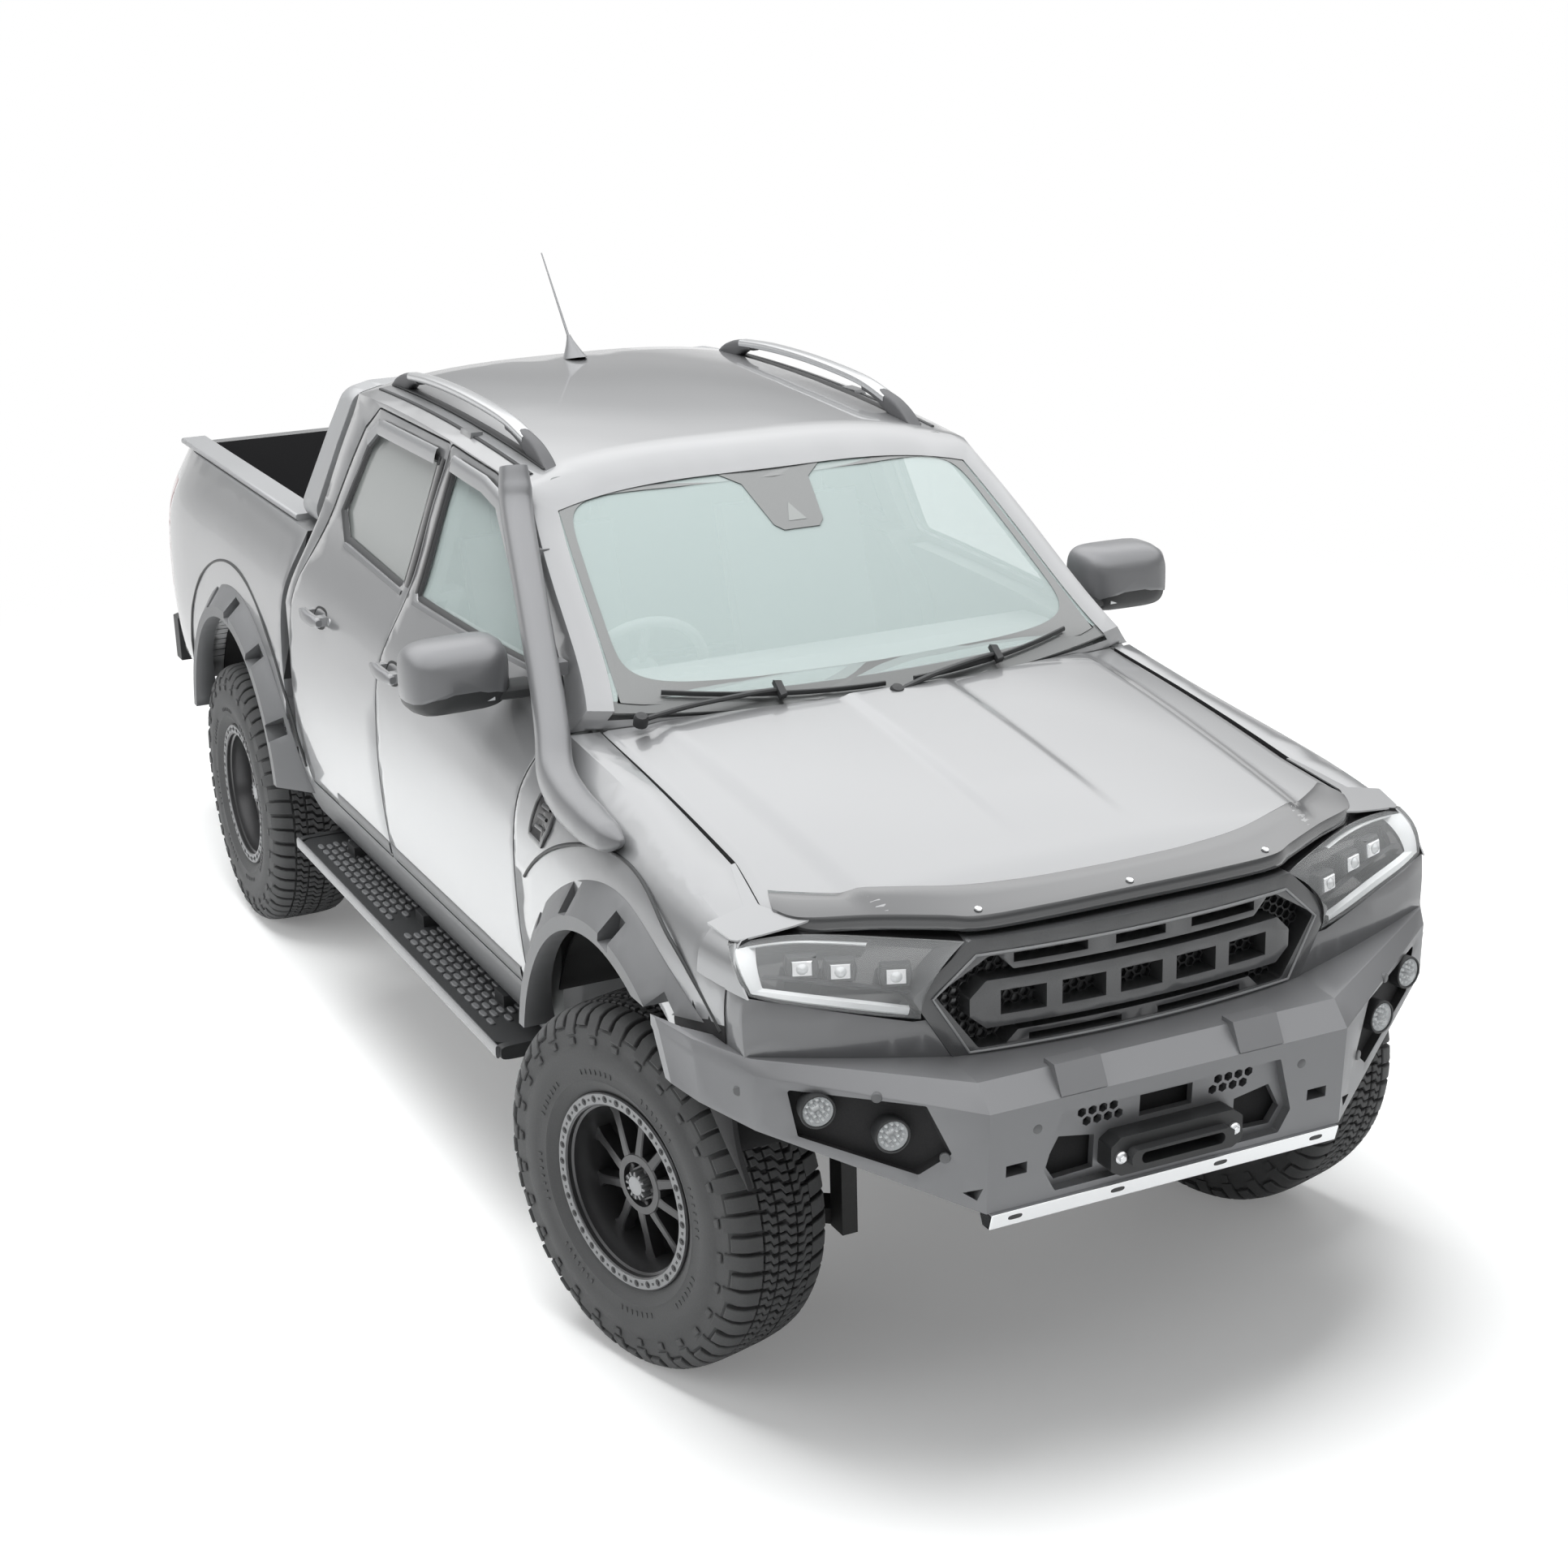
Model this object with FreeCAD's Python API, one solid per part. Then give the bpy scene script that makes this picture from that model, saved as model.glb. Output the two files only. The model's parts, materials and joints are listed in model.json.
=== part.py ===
import FreeCAD, Part
import functools
import math
import os

Vec = FreeCAD.Vector

# Lifted double-cab pickup, millimetres. Here x is measured from the front
# axle, + forward, y to the vehicle's left and z up from the ground. The
# finished solids are shifted so that the origin lies under the middle.

# Driving dimensions
wheelbase = 3220.0
front_reach = 950.0
rear_reach = 1235.0
tyre_radius = 437.0
tyre_width = 285.0
wheel_offset = 808.0
kingpin_offset = 690.0
rest_steer = 15.6
rear_axle_x = -wheelbase
middle_x = (front_reach - wheelbase - rear_reach) / 2.0

# Clearances
seat_gap = 0.3
shut_gap = 6.0
frame_gap = 13.0

# Body side: half-widths of the body at heights above the ground
side_section = (
    (480.0, 800.0), (600.0, 862.0), (700.0, 893.0), (820.0, 909.0),
    (960.0, 917.0), (1100.0, 915.0), (1230.0, 902.0), (1330.0, 868.0),
    (1420.0, 805.0), (1530.0, 762.0), (1690.0, 703.0), (1980.0, 596.0))
nose_taper = 60.0
tail_taper = 45.0
upper_taper = 73.0

# Bonnet and wing tops
bonnet_rear_z = 1385.0
bonnet_rear_x = -300.0
bonnet_slope = 0.0956
bonnet_droop = 5.4e-5
bonnet_half = 711.0
bonnet_crown = 38.0
bonnet_skin = 26.0
nose_x = 781.0
bumper_fold_y = 445.0
nose_curve = 2.0e-4

# Cab
cab_floor_z = 650.0
floor_thick = 34.0
sill_z = 560.0
bulkhead_x = -512.0
bulkhead_thick = 46.0
door_front_x = -555.0
hinge_ahead = 30.0
door_mid_x = -1640.0
door_rear_x = -2505.0
cab_rear_x = -2562.0
door_bottom_z = 702.0
belt_z = 1428.0
door_thick = 96.0
edge_inset = 66.0
frame_thick = 36.0
wall_thick = 58.0
sill_inner_half = 760.0
wing_skin = 12.0
wing_top_skin = 26.0
glass_thick = 5.0
roof_peak_z = 1927.0
roof_peak_x = -2150.0
roof_arch = 4.5e-5
roof_crown = 60.0
roof_half = 640.0
roof_skin = 46.0
cowl_z = 1386.0
screen_x = -406.0
screen_z = 1452.0
screen_slope = 1.596
screen_curve = 2.39e-4
screen_inset = 8.0

# Load bed
bed_front_x = -2604.0
bed_rear_x = -4190.0
bed_bottom_z = 690.0
bed_top_z = 1440.0
bed_floor_z = 960.0
bed_inner_half = 700.0
tailgate_half = 742.0
tailgate_thick = 62.0
tailgate_bottom_z = 850.0

# Wheel arches and flares
arch_x = 75.0
arch_z = 560.0
arch_radius = 500.0
cut_radius = 548.0
cut_x = 28.0
cut_z = 512.0
flare_x = 30.0
flare_z = 478.0
flare_radius = 748.0
flare_inner_y = 850.0
flare_outer_y = 966.0

# Chassis
rail_offset = 370.0
rail_width = 80.0
rail_top_z = 644.0
rail_depth = 130.0
rear_kick = 150.0
engine_rear_x = -430.0
arm_low_z = 325.0
arm_high_z = 596.0


def box(x0, x1, y0, y1, z0, z1):
    return Part.makeBox(x1 - x0, y1 - y0, z1 - z0, Vec(x0, y0, z0))


def cylinder(base, axis, radius, length):
    return Part.makeCylinder(radius, length, base, axis)


def rounded_wire(points, radius):
    """Closed wire through the points, each corner rounded by a tangent arc."""
    count = len(points)
    edges = []
    starts = []
    arcs = []
    for i in range(count):
        before, corner, after = points[i - 1], points[i], points[(i + 1) % count]
        to_before = before - corner
        to_after = after - corner
        shortest = min(to_before.Length, to_after.Length)
        half = to_before.getAngle(to_after) / 2.0
        reach = min(radius / math.tan(half), 0.45 * shortest)
        bend = reach * math.tan(half)
        to_before.normalize()
        to_after.normalize()
        middle = to_before + to_after
        if reach < 0.01 or middle.Length < 1e-6:
            starts.append((corner, corner))
            arcs.append(None)
            continue
        middle.normalize()
        first = corner + to_before * reach
        last = corner + to_after * reach
        crest = corner + middle * (bend / math.sin(half) - bend)
        starts.append((first, last))
        arcs.append(Part.Arc(first, crest, last).toShape())
    for i in range(count):
        if arcs[i] is not None:
            edges.append(arcs[i])
        edges.append(Part.makeLine(starts[i][1], starts[(i + 1) % count][0]))
    return Part.Wire(edges)


def prism_y(outline, y0, y1, radius=0.0, shrink=0.0):
    """Side-view outline of (x, z) points, extruded across the vehicle."""
    wire = rounded_wire([Vec(x, y0, z) for x, z in outline], radius)
    if shrink:
        wire = wire.makeOffset2D(-shrink)
    return Part.Face(wire).extrude(Vec(0, y1 - y0, 0))


def prism_x(outline, x0, x1, radius=0.0, shrink=0.0):
    """Front-view outline of (y, z) points, extruded along the vehicle."""
    wire = rounded_wire([Vec(x0, y, z) for y, z in outline], radius)
    if shrink:
        wire = wire.makeOffset2D(-shrink)
    return Part.Face(wire).extrude(Vec(x1 - x0, 0, 0))


def prism_z(outline, z0, z1, radius=0.0):
    """Plan outline of (x, y) points, extruded upwards."""
    wire = rounded_wire([Vec(x, y, z0) for x, y in outline], radius)
    return Part.Face(wire).extrude(Vec(0, 0, z1 - z0))


def mirrored(shape):
    return shape.mirror(Vec(0, 0, 0), Vec(0, 1, 0))


def fused(shapes):
    first = shapes[0]
    if len(shapes) == 1:
        return first
    return first.multiFuse(shapes[1:]).removeSplitter()


def compound(shapes):
    solids = []
    for shape in shapes:
        solids.extend(shape.Solids)
    return Part.Compound(solids)


def both_sides(shape):
    return compound([shape, mirrored(shape)])


def tube(points, radius, bend):
    """Round bar along straight runs joined by tangent arcs."""
    edges = []
    start = points[0]
    for i in range(1, len(points) - 1):
        corner = points[i]
        back = points[i - 1] - corner
        ahead = points[i + 1] - corner
        half = back.getAngle(ahead) / 2.0
        reach = min(bend / math.tan(half), 0.45 * min(back.Length, ahead.Length))
        arc_radius = reach * math.tan(half)
        back.normalize()
        ahead.normalize()
        middle = back + ahead
        middle.normalize()
        first = corner + back * reach
        last = corner + ahead * reach
        crest = corner + middle * (arc_radius / math.sin(half) - arc_radius)
        edges.append(Part.makeLine(start, first))
        edges.append(Part.Arc(first, crest, last).toShape())
        start = last
    edges.append(Part.makeLine(start, points[-1]))
    path = Part.Wire(edges)
    direction = points[1] - points[0]
    profile = Part.Wire(Part.makeCircle(radius, points[0], direction))
    return path.makePipeShell([profile], True, False)


def grid_face(rows):
    surface = Part.BSplineSurface()
    surface.interpolate(rows)
    return surface.toShape()


def steps(low, high, count):
    return [low + (high - low) * i / (count - 1) for i in range(count)]


def smooth(t):
    t = max(0.0, min(1.0, t))
    return t * t * (3.0 - 2.0 * t)


# Body surfaces

def section_half(z):
    """Half-width of the untapered body at a height."""
    for (z0, y0), (z1, y1) in zip(side_section, side_section[1:]):
        if z <= z1:
            return y0 + (y1 - y0) * (z - z0) / (z1 - z0)
    return side_section[-1][1]


def side_y(x, z):
    """Half-width of the body side, tapered at the nose, tail and pillars."""
    nose = nose_taper * (max(0.0, x - 100.0) / 550.0) ** 2
    tail = tail_taper * (max(0.0, -3900.0 - x) / 350.0) ** 2
    upper = upper_taper * (max(0.0, x + 1700.0) / 1171.0) ** 2
    return section_half(z) - nose - tail - upper * smooth((z - 1150.0) / 270.0)


def top_z(x, y):
    """Height of the bonnet and wing tops."""
    back = x - bonnet_rear_x
    crest = bonnet_rear_z - bonnet_slope * back - bonnet_droop * back * abs(back)
    share = abs(y) / bonnet_half
    fall = share ** 3 if share < 1.0 else 3.0 * share - 2.0
    return crest - bonnet_crown * fall


def roof_z(x, y):
    crest = roof_peak_z - roof_arch * (x - roof_peak_x) ** 2
    return crest - roof_crown * (abs(y) / roof_half) ** 3


def screen_at(y, z):
    """Station of the windscreen's outer face."""
    return screen_x - screen_slope * (z - screen_z) - screen_curve * y * y


def side_face(inset):
    """Left body side, moved in by the inset."""
    rows = []
    for x in steps(-4400.0, 900.0, 21):
        rows.append([Vec(x, side_y(x, z) - inset, z) for z in steps(480.0, 1980.0, 13)])
    return grid_face(rows)


@functools.lru_cache(maxsize=None)
def side_block(inset):
    """Everything between the two body sides, moved in by the inset."""
    left = side_face(inset)
    closing = [Part.makeRuledSurface(edge, mirrored(edge)) for edge in left.Edges]
    shell = Part.makeShell([left, mirrored(left)] + closing)
    shell.sewShape()
    return Part.makeSolid(shell)


def side_panel(inset, thick, outline, radius, holes=(), shrink=0.0):
    """Left body side inside a side-view outline, as a curved panel."""
    patch = side_face(inset).common(prism_y(outline, 300.0, 1100.0, radius, shrink))
    for hole, hole_radius in holes:
        patch = patch.cut(prism_y(hole, 300.0, 1100.0, hole_radius))
    return patch.Faces[0].extrude(Vec(0, -thick, 0))


@functools.lru_cache(maxsize=None)
def top_block(drop, depth):
    """Everything under the bonnet and wing tops, lowered by the drop."""
    rows = []
    for x in steps(-700.0, 900.0, 13):
        rows.append([Vec(x, y, top_z(x, y) - drop) for y in steps(-1000.0, 1000.0, 21)])
    return grid_face(rows).extrude(Vec(0, 0, -depth))


@functools.lru_cache(maxsize=None)
def roof_block(drop, depth):
    rows = []
    for x in steps(-2750.0, -200.0, 11):
        rows.append([Vec(x, y, roof_z(x, y) - drop) for y in steps(-1000.0, 1000.0, 17)])
    return grid_face(rows).extrude(Vec(0, 0, -depth))


@functools.lru_cache(maxsize=None)
def screen_block(inset, depth):
    """Everything behind the windscreen's outer face."""
    rows = []
    for z in steps(400.0, 2000.0, 9):
        rows.append([Vec(screen_at(y, z) - inset, y, z) for y in steps(-900.0, 900.0, 9)])
    return grid_face(rows).extrude(Vec(-depth, 0, 0))


def nose_at(y):
    return nose_x - nose_curve * y * y


def plan_block(station, z0, z1, back_x, half):
    """Plan region behind a curved front line."""
    line = Part.BSplineCurve()
    line.interpolate([Vec(station(y), y, z0) for y in steps(-half, half, 9)])
    curve = line.toShape()
    left = curve.Vertexes[-1].Point
    right = curve.Vertexes[0].Point
    rear_left = Vec(back_x, left.y, z0)
    rear_right = Vec(back_x, right.y, z0)
    sides = [Part.makeLine(left, rear_left), Part.makeLine(rear_left, rear_right)]
    sides.append(Part.makeLine(rear_right, right))
    return Part.Face(Part.Wire([curve] + sides)).extrude(Vec(0, 0, z1 - z0))


def bonnet_back(y):
    return bonnet_rear_x - 3.0e-4 * y * y


# Doors

def front_door_outline(grow, frame_grow):
    """Side view of a front door; grow moves the outline out."""
    g = grow
    f = frame_grow
    return [(door_front_x + g, door_bottom_z - g), (door_front_x + g, 1392.0),
            (-628.0 + f, 1440.0), (-1176.0 + f, 1806.0 + g), (-1300.0, 1826.0 + g),
            (door_mid_x - f / 2.0, 1846.0 + g), (door_mid_x - f / 2.0, belt_z),
            (door_mid_x - g, 1380.0), (door_mid_x - g, door_bottom_z - g)]


def rear_door_outline(grow, frame_grow):
    g = grow
    f = frame_grow
    front = door_mid_x - shut_gap
    return [(front + g, door_bottom_z - g), (front + g, 1380.0),
            (front + f / 2.0, belt_z), (front + f / 2.0, 1846.0 + g),
            (-2275.0, 1848.0 + g), (-2352.0 - f, 1780.0 + g),
            (-2470.0 - f, 1440.0), (door_rear_x - g, 1330.0),
            (door_rear_x - g, 925.0), (-2446.0 - g, door_bottom_z - g)]


def front_window_outline():
    rear = door_mid_x + 58.0
    return [(-735.0, belt_z + 14.0), (-1212.0, 1764.0), (-1330.0, 1786.0),
            (rear, 1800.0), (rear, belt_z + 20.0)]


def rear_window_outline():
    front = door_mid_x - 62.0
    return [(front, belt_z + 22.0), (front, 1800.0), (-2225.0, 1798.0),
            (-2290.0, 1738.0), (-2362.0, 1545.0), (-2260.0, belt_z + 48.0)]


def door_core_outline(front, rear, slant):
    """Thick lower part of a door, set in from its shut faces."""
    low = door_bottom_z + edge_inset
    return [(front - edge_inset, low), (front - edge_inset, belt_z - 8.0),
            (rear + edge_inset, belt_z - 8.0), (rear + edge_inset, low + slant),
            (rear + edge_inset + 0.4 * slant, low)]


def door_panel(outline, window, core):
    """Curved door: thick below the belt, a slim frame round the glass."""
    frame = side_panel(0.0, frame_thick, outline, 18.0, [(window, 26.0)])
    inner = side_panel(frame_thick - 1.0, door_thick - frame_thick + 1.0, core, 30.0)
    return fused([frame, inner])


def door_handle(x0, x1):
    """Grab bar on two posts, standing off the door skin."""
    z = 1270.0
    y = side_y((x0 + x1) / 2.0, z)
    bar = box(x0, x1, y + 20.0, y + 38.0, z - 15.0, z + 15.0)
    bar = bar.makeFillet(7.0, bar.Edges)
    feet = [box(x0 + 8.0, x0 + 30.0, y - 12.0, y + 28.0, z - 11.0, z + 11.0),
            box(x1 - 46.0, x1 - 8.0, y - 12.0, y + 28.0, z - 13.0, z + 13.0)]
    return fused([bar] + feet)


def front_door():
    core = door_core_outline(door_front_x, door_mid_x, 2.0)
    panel = door_panel(front_door_outline(0.0, 0.0), front_window_outline(), core)
    return fused([panel, door_handle(-1610.0, -1450.0)])


def rear_door():
    core = door_core_outline(door_mid_x - shut_gap, door_rear_x, 220.0)
    panel = door_panel(rear_door_outline(0.0, 0.0), rear_window_outline(), core)
    return fused([panel, door_handle(-2300.0, -2140.0)])


def door_glass(window):
    return side_panel(15.0, glass_thick, window, 26.0, shrink=seat_gap)


def mirror_unit():
    """Door mirror: rounded housing on a short arm from the door's corner."""
    outline = [(842.0, 1392.0), (1000.0, 1384.0), (1080.0, 1420.0), (1084.0, 1490.0),
               (1040.0, 1556.0), (860.0, 1572.0), (834.0, 1540.0)]
    shell = prism_x(outline, -860.0, -712.0, 34.0)
    front = [face for face in shell.Faces if abs(face.CenterOfMass.x + 712.0) < 1.0]
    shell = shell.makeFillet(30.0, front[0].Edges)
    arm_outline = [(-700.0, 1392.0), (-850.0, 1392.0), (-836.0, 1432.0), (-712.0, 1432.0)]
    arm = prism_y(arm_outline, 700.0, 880.0, 10.0)
    return fused([shell, arm]).cut(side_block(-seat_gap))


# Cab

def cab_profile():
    return [(cab_rear_x, sill_z), (bulkhead_x, sill_z), (bulkhead_x, 1335.0),
            (bonnet_rear_x, 1335.0), (bonnet_rear_x, 2050.0), (-2480.0, 2050.0),
            (-2480.0, 1925.0), (cab_rear_x, 1450.0)]


def cabin_profile():
    floor = cab_floor_z + floor_thick
    front = bulkhead_x - bulkhead_thick
    return [(cab_rear_x + 46.0, floor), (front, floor), (front, cowl_z), (0.0, cowl_z),
            (0.0, 2050.0), (-2434.0, 2050.0),
            (-2434.0, 1920.0), (cab_rear_x + 46.0, 1450.0)]


def centre_post():
    """Pillar behind the meeting edges of the two doors on one side."""
    side = [(door_mid_x - 62.0, belt_z), (door_mid_x - 44.0, 1880.0),
            (door_mid_x + 38.0, 1880.0), (door_mid_x + 56.0, belt_z)]
    upper = side_panel(frame_thick + seat_gap, 34.0, side, 0.0)
    low = [(door_mid_x - 90.0, sill_z + 90.0), (door_mid_x - 62.0, belt_z + 20.0),
           (door_mid_x + 56.0, belt_z + 20.0), (door_mid_x + 84.0, sill_z + 90.0)]
    lower = side_panel(door_thick + shut_gap, 40.0, low, 0.0)
    bridge = [(door_mid_x - 62.0, belt_z + 4.0), (door_mid_x - 62.0, belt_z + 28.0),
              (door_mid_x + 56.0, belt_z + 28.0), (door_mid_x + 56.0, belt_z + 4.0)]
    joint = side_panel(frame_thick + seat_gap, 104.0, bridge, 0.0)
    return fused([upper, lower, joint])


def cab_block():
    """Left half of the cab's outer form, notched behind the wing."""
    outer = side_block(0.0).common(prism_y(cab_profile(), 0.0, 1100.0))
    outer = outer.common(roof_block(0.0, 1500.0)).common(screen_block(0.0, 4500.0))
    outer = outer.common(plan_block(lambda y: bonnet_back(y) - 8.0, 400.0, 2100.0, -2700.0, 1000.0))
    ahead = box(door_front_x + shut_gap - 1.0, 0.0, 0.0, 1100.0, 400.0, 2100.0)
    wing_top = top_block(-2.0, 900.0).cut(top_block(wing_top_skin + 6.0, 950.0))
    wing_top = wing_top.common(box(door_front_x + shut_gap - 1.0, 0.0, bonnet_half - 4.0, 1100.0, 400.0, 2100.0))
    outside = ahead.cut(side_block(wing_skin + 4.0)).common(top_block(-2.0, 900.0))
    return outer.cut(wing_top).cut(outside)


def tunnel(inset, extra):
    """Raised tunnel over the gearbox, along the middle of the floor."""
    low = cab_floor_z - 20.0 if extra else cab_floor_z + 1.0
    outline = [(0.0, low), (0.0, 884.0 - inset), (150.0 - inset, 884.0 - inset), (194.0 - inset, low)]
    return prism_x(outline, -1400.0 + inset, bulkhead_x + extra)


def cab_shell():
    """Hollow cab made as its left half and mirrored."""
    cabin = side_block(wall_thick).common(prism_y(cabin_profile(), -10.0, 1100.0))
    cabin = cabin.common(roof_block(roof_skin, 1500.0))
    shell = cab_block().cut(prism_y(front_door_outline(shut_gap, frame_gap), 300.0, 1100.0, 22.0))
    shell = shell.cut(prism_y(rear_door_outline(shut_gap, frame_gap), 300.0, 1100.0, 22.0))
    shell = shell.cut(cabin)
    shell = shell.cut(prism_x(rear_glass_outline(0.0), -2700.0, -2350.0, 60.0))
    shell = shell.cut(box(-2600.0, -400.0, -10.0, sill_inner_half, 400.0, cab_floor_z))
    shell = fused([shell, centre_post(), tunnel(0.0, 0.0)]).cut(tunnel(12.0, 10.0))
    return fused([shell, mirrored(shell)])


def rear_glass_outline(grow):
    g = grow
    return [(-590.0 - g, 1480.0 - g), (590.0 + g, 1480.0 - g),
            (520.0 + g, 1800.0 + g), (-520.0 - g, 1800.0 + g)]


def cab_glass():
    """Windscreen and rear window, each let into its opening."""
    pane = screen_block(screen_inset, 6.0)
    room = side_block(wall_thick + seat_gap).common(roof_block(roof_skin + seat_gap, 1500.0))
    low = box(-1400.0, bonnet_rear_x - 12.0, -900.0, 900.0, cowl_z + seat_gap, 2000.0)
    behind = plan_block(lambda y: bonnet_back(y) - 8.0, 400.0, 2100.0, -2700.0, 1000.0)
    screen = pane.common(room).common(low).common(behind)
    outline = [(cab_rear_x + 16.0, 1450.0), (cab_rear_x + 22.0, 1450.0)]
    top = [(-2480.0 + 22.0, 1925.0), (-2480.0 + 16.0, 1925.0)]
    rear = prism_y(outline + top, -700.0, 700.0)
    rear = rear.common(prism_x(rear_glass_outline(0.0), -2700.0, -2350.0, 60.0, shrink=seat_gap))
    return compound([screen, rear])


def dashboard():
    front = bulkhead_x - bulkhead_thick - seat_gap
    outline = [(front, 1000.0), (front, 1378.0), (-700.0, 1392.0), (-880.0, 1372.0),
               (-930.0, 1310.0), (-860.0, 1010.0)]
    block = prism_y(outline, -900.0, 900.0, 30.0)
    return block.common(side_block(door_thick + 2.0 * shut_gap))


def steering_wheel():
    centre = Vec(-1050.0, -370.0, 1295.0)
    axis = Vec(-0.9, 0.0, 0.43)
    ring = Part.makeTorus(185.0, 15.0, centre, axis)
    hub = cylinder(centre - axis * 34.0, axis, 62.0, 46.0)
    spokes = []
    for angle in (0.0, 120.0, 240.0):
        spoke = box(-10.0, 10.0, -9.0, 9.0, 40.0, 180.0)
        spoke.rotate(Vec(0, 0, 0), Vec(1, 0, 0), angle)
        spoke.rotate(Vec(0, 0, 0), Vec(0, 1, 0), 25.6)
        spoke.translate(centre)
        spokes.append(spoke)
    column = cylinder(centre - axis * 150.0, axis, 28.0, 130.0)
    wheel = fused([ring, hub, column] + spokes)
    wheel = wheel.cut(dashboard())
    wheel.translate(axis * seat_gap)
    return wheel


def seat(x, y0, y1, rake):
    """One seat: base, cushion, leaning back and head restraint."""
    middle = (y0 + y1) / 2.0
    floor = cab_floor_z + floor_thick
    base = box(x - 480.0, x - 60.0, y0 + 40.0, y1 - 40.0, floor, 940.0)
    side = [(x, 940.0), (x - 10.0, 1050.0), (x - 430.0, 1030.0), (x - 430.0 - rake, 1560.0),
            (x - 540.0 - rake, 1560.0), (x - 560.0, 940.0)]
    body = prism_y(side, y0, y1, 34.0)
    head_side = [(x - 455.0 - rake, 1575.0), (x - 535.0 - rake, 1575.0),
                 (x - 560.0 - rake, 1735.0), (x - 485.0 - rake, 1735.0)]
    head = prism_y(head_side, middle - 130.0, middle + 130.0, 26.0)
    stalk = box(x - 510.0 - rake, x - 480.0 - rake, middle - 60.0, middle + 60.0, 1540.0, 1600.0)
    return fused([base, body, head, stalk])


def seats():
    left = seat(-1080.0, 160.0, 620.0, 150.0)
    bench = seat(-1690.0, -630.0, 630.0, 90.0)
    return compound([left, mirrored(left), bench])


# Front end

@functools.lru_cache(maxsize=None)
def wing_side():
    """Left front wing: side skin and shoulder, open below over the wheel."""
    outer = side_block(0.0).common(top_block(0.0, 900.0))
    inner = side_block(wing_skin).common(top_block(wing_top_skin, 900.0))
    edge = bonnet_half + shut_gap
    region = prism_z([(door_front_x + shut_gap, edge), (300.0, edge + 8.0), (560.0, 800.0),
                      (600.0, 1100.0), (door_front_x + shut_gap, 1100.0)], 500.0, 1500.0)
    wing = outer.cut(inner).common(region)
    arch = cylinder(Vec(cut_x, 400.0, cut_z), Vec(0, 1, 0), cut_radius, 700.0)
    under = box(-700.0, 900.0, 400.0, 1100.0, 300.0, 640.0)
    behind = plan_block(lambda y: bonnet_back(y) + 2.0, 1300.0, 1700.0, -900.0, 1000.0)
    wing = wing.cut(arch).cut(under).cut(behind).cut(headlamp_room())
    return wing.cut(bumper_half())


def lamp_outline(grow):
    """Front view of the left headlamp."""
    g = grow
    return [(400.0 - g, 1160.0), (400.0 - g, 1300.0 + g), (1000.0, 1300.0 + g),
            (1000.0 + g, 1130.0 - g), (860.0, 1112.0 - g), (520.0 - g, 1022.0 - g)]


def lamp_block(grow):
    return prism_x(lamp_outline(grow), 470.0 - grow, 900.0, 14.0)


@functools.lru_cache(maxsize=None)
def headlamp_room():
    """What the wing leaves free for the left lamp."""
    return lamp_block(seat_gap).common(top_block(wing_top_skin - seat_gap, 900.0))


def nose_block(inset):
    return plan_block(lambda y: nose_at(y) - inset, 400.0, 1400.0, -100.0, 1000.0)


def headlamp():
    body = lamp_block(0.0).common(nose_block(0.0)).common(side_block(0.0))
    body = body.common(top_block(bonnet_skin + shut_gap, 900.0))
    body = body.cut(prism_x(grille_outline(-seat_gap), 600.0, 900.0, 12.0))
    back = prism_z([(640.0, 420.0), (560.0, 560.0), (540.0, 820.0), (400.0, 820.0),
                    (400.0, 420.0)], 900.0, 1400.0)
    return body.cut(back)


def lower_panel():
    """Painted panel between the lamp and the bumper."""
    outline = [(400.0, 900.0), (400.0, 1022.0 - seat_gap), (520.0, 1022.0 - seat_gap),
               (860.0, 1112.0 - seat_gap), (905.0, 1118.0), (905.0, 900.0)]
    panel = prism_x(outline, 400.0, 900.0).common(nose_block(4.0)).common(side_block(2.0))
    panel = panel.cut(nose_block(40.0).common(side_block(34.0)))
    arch = cylinder(Vec(cut_x, 400.0, cut_z), Vec(0, 1, 0), cut_radius, 700.0)
    panel = panel.cut(arch).cut(wing_side()).cut(bumper_half())
    panel = panel.cut(prism_x(grille_outline(-seat_gap), 600.0, 900.0, 12.0))
    return sorted(panel.Solids, key=lambda s: s.Volume)[-1]


def front_wings():
    left = wing_side()
    return both_sides(left)


def front_panels():
    return both_sides(lower_panel())


def headlamps():
    return both_sides(headlamp())


def grille_outline(shrink):
    s = shrink
    return [(399.0 - s, 1186.0 - s), (523.0 - 1.2 * s, 1074.0), (421.0 - s, 904.0 + s),
            (-421.0 + s, 904.0 + s), (-523.0 + 1.2 * s, 1074.0), (-399.0 + s, 1186.0 - s)]


def grille_bar(outline, proud, depth, slots):
    """Bar that follows the nose, with slots given as (y0, y1, z0, z1)."""
    bar = prism_x(outline, 600.0, 900.0, 6.0).common(nose_block(proud)).cut(nose_block(proud + depth))
    for y0, y1, z0, z1 in slots:
        bar = bar.cut(box(600.0, 900.0, y0, y1, z0, z1))
    return bar


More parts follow.
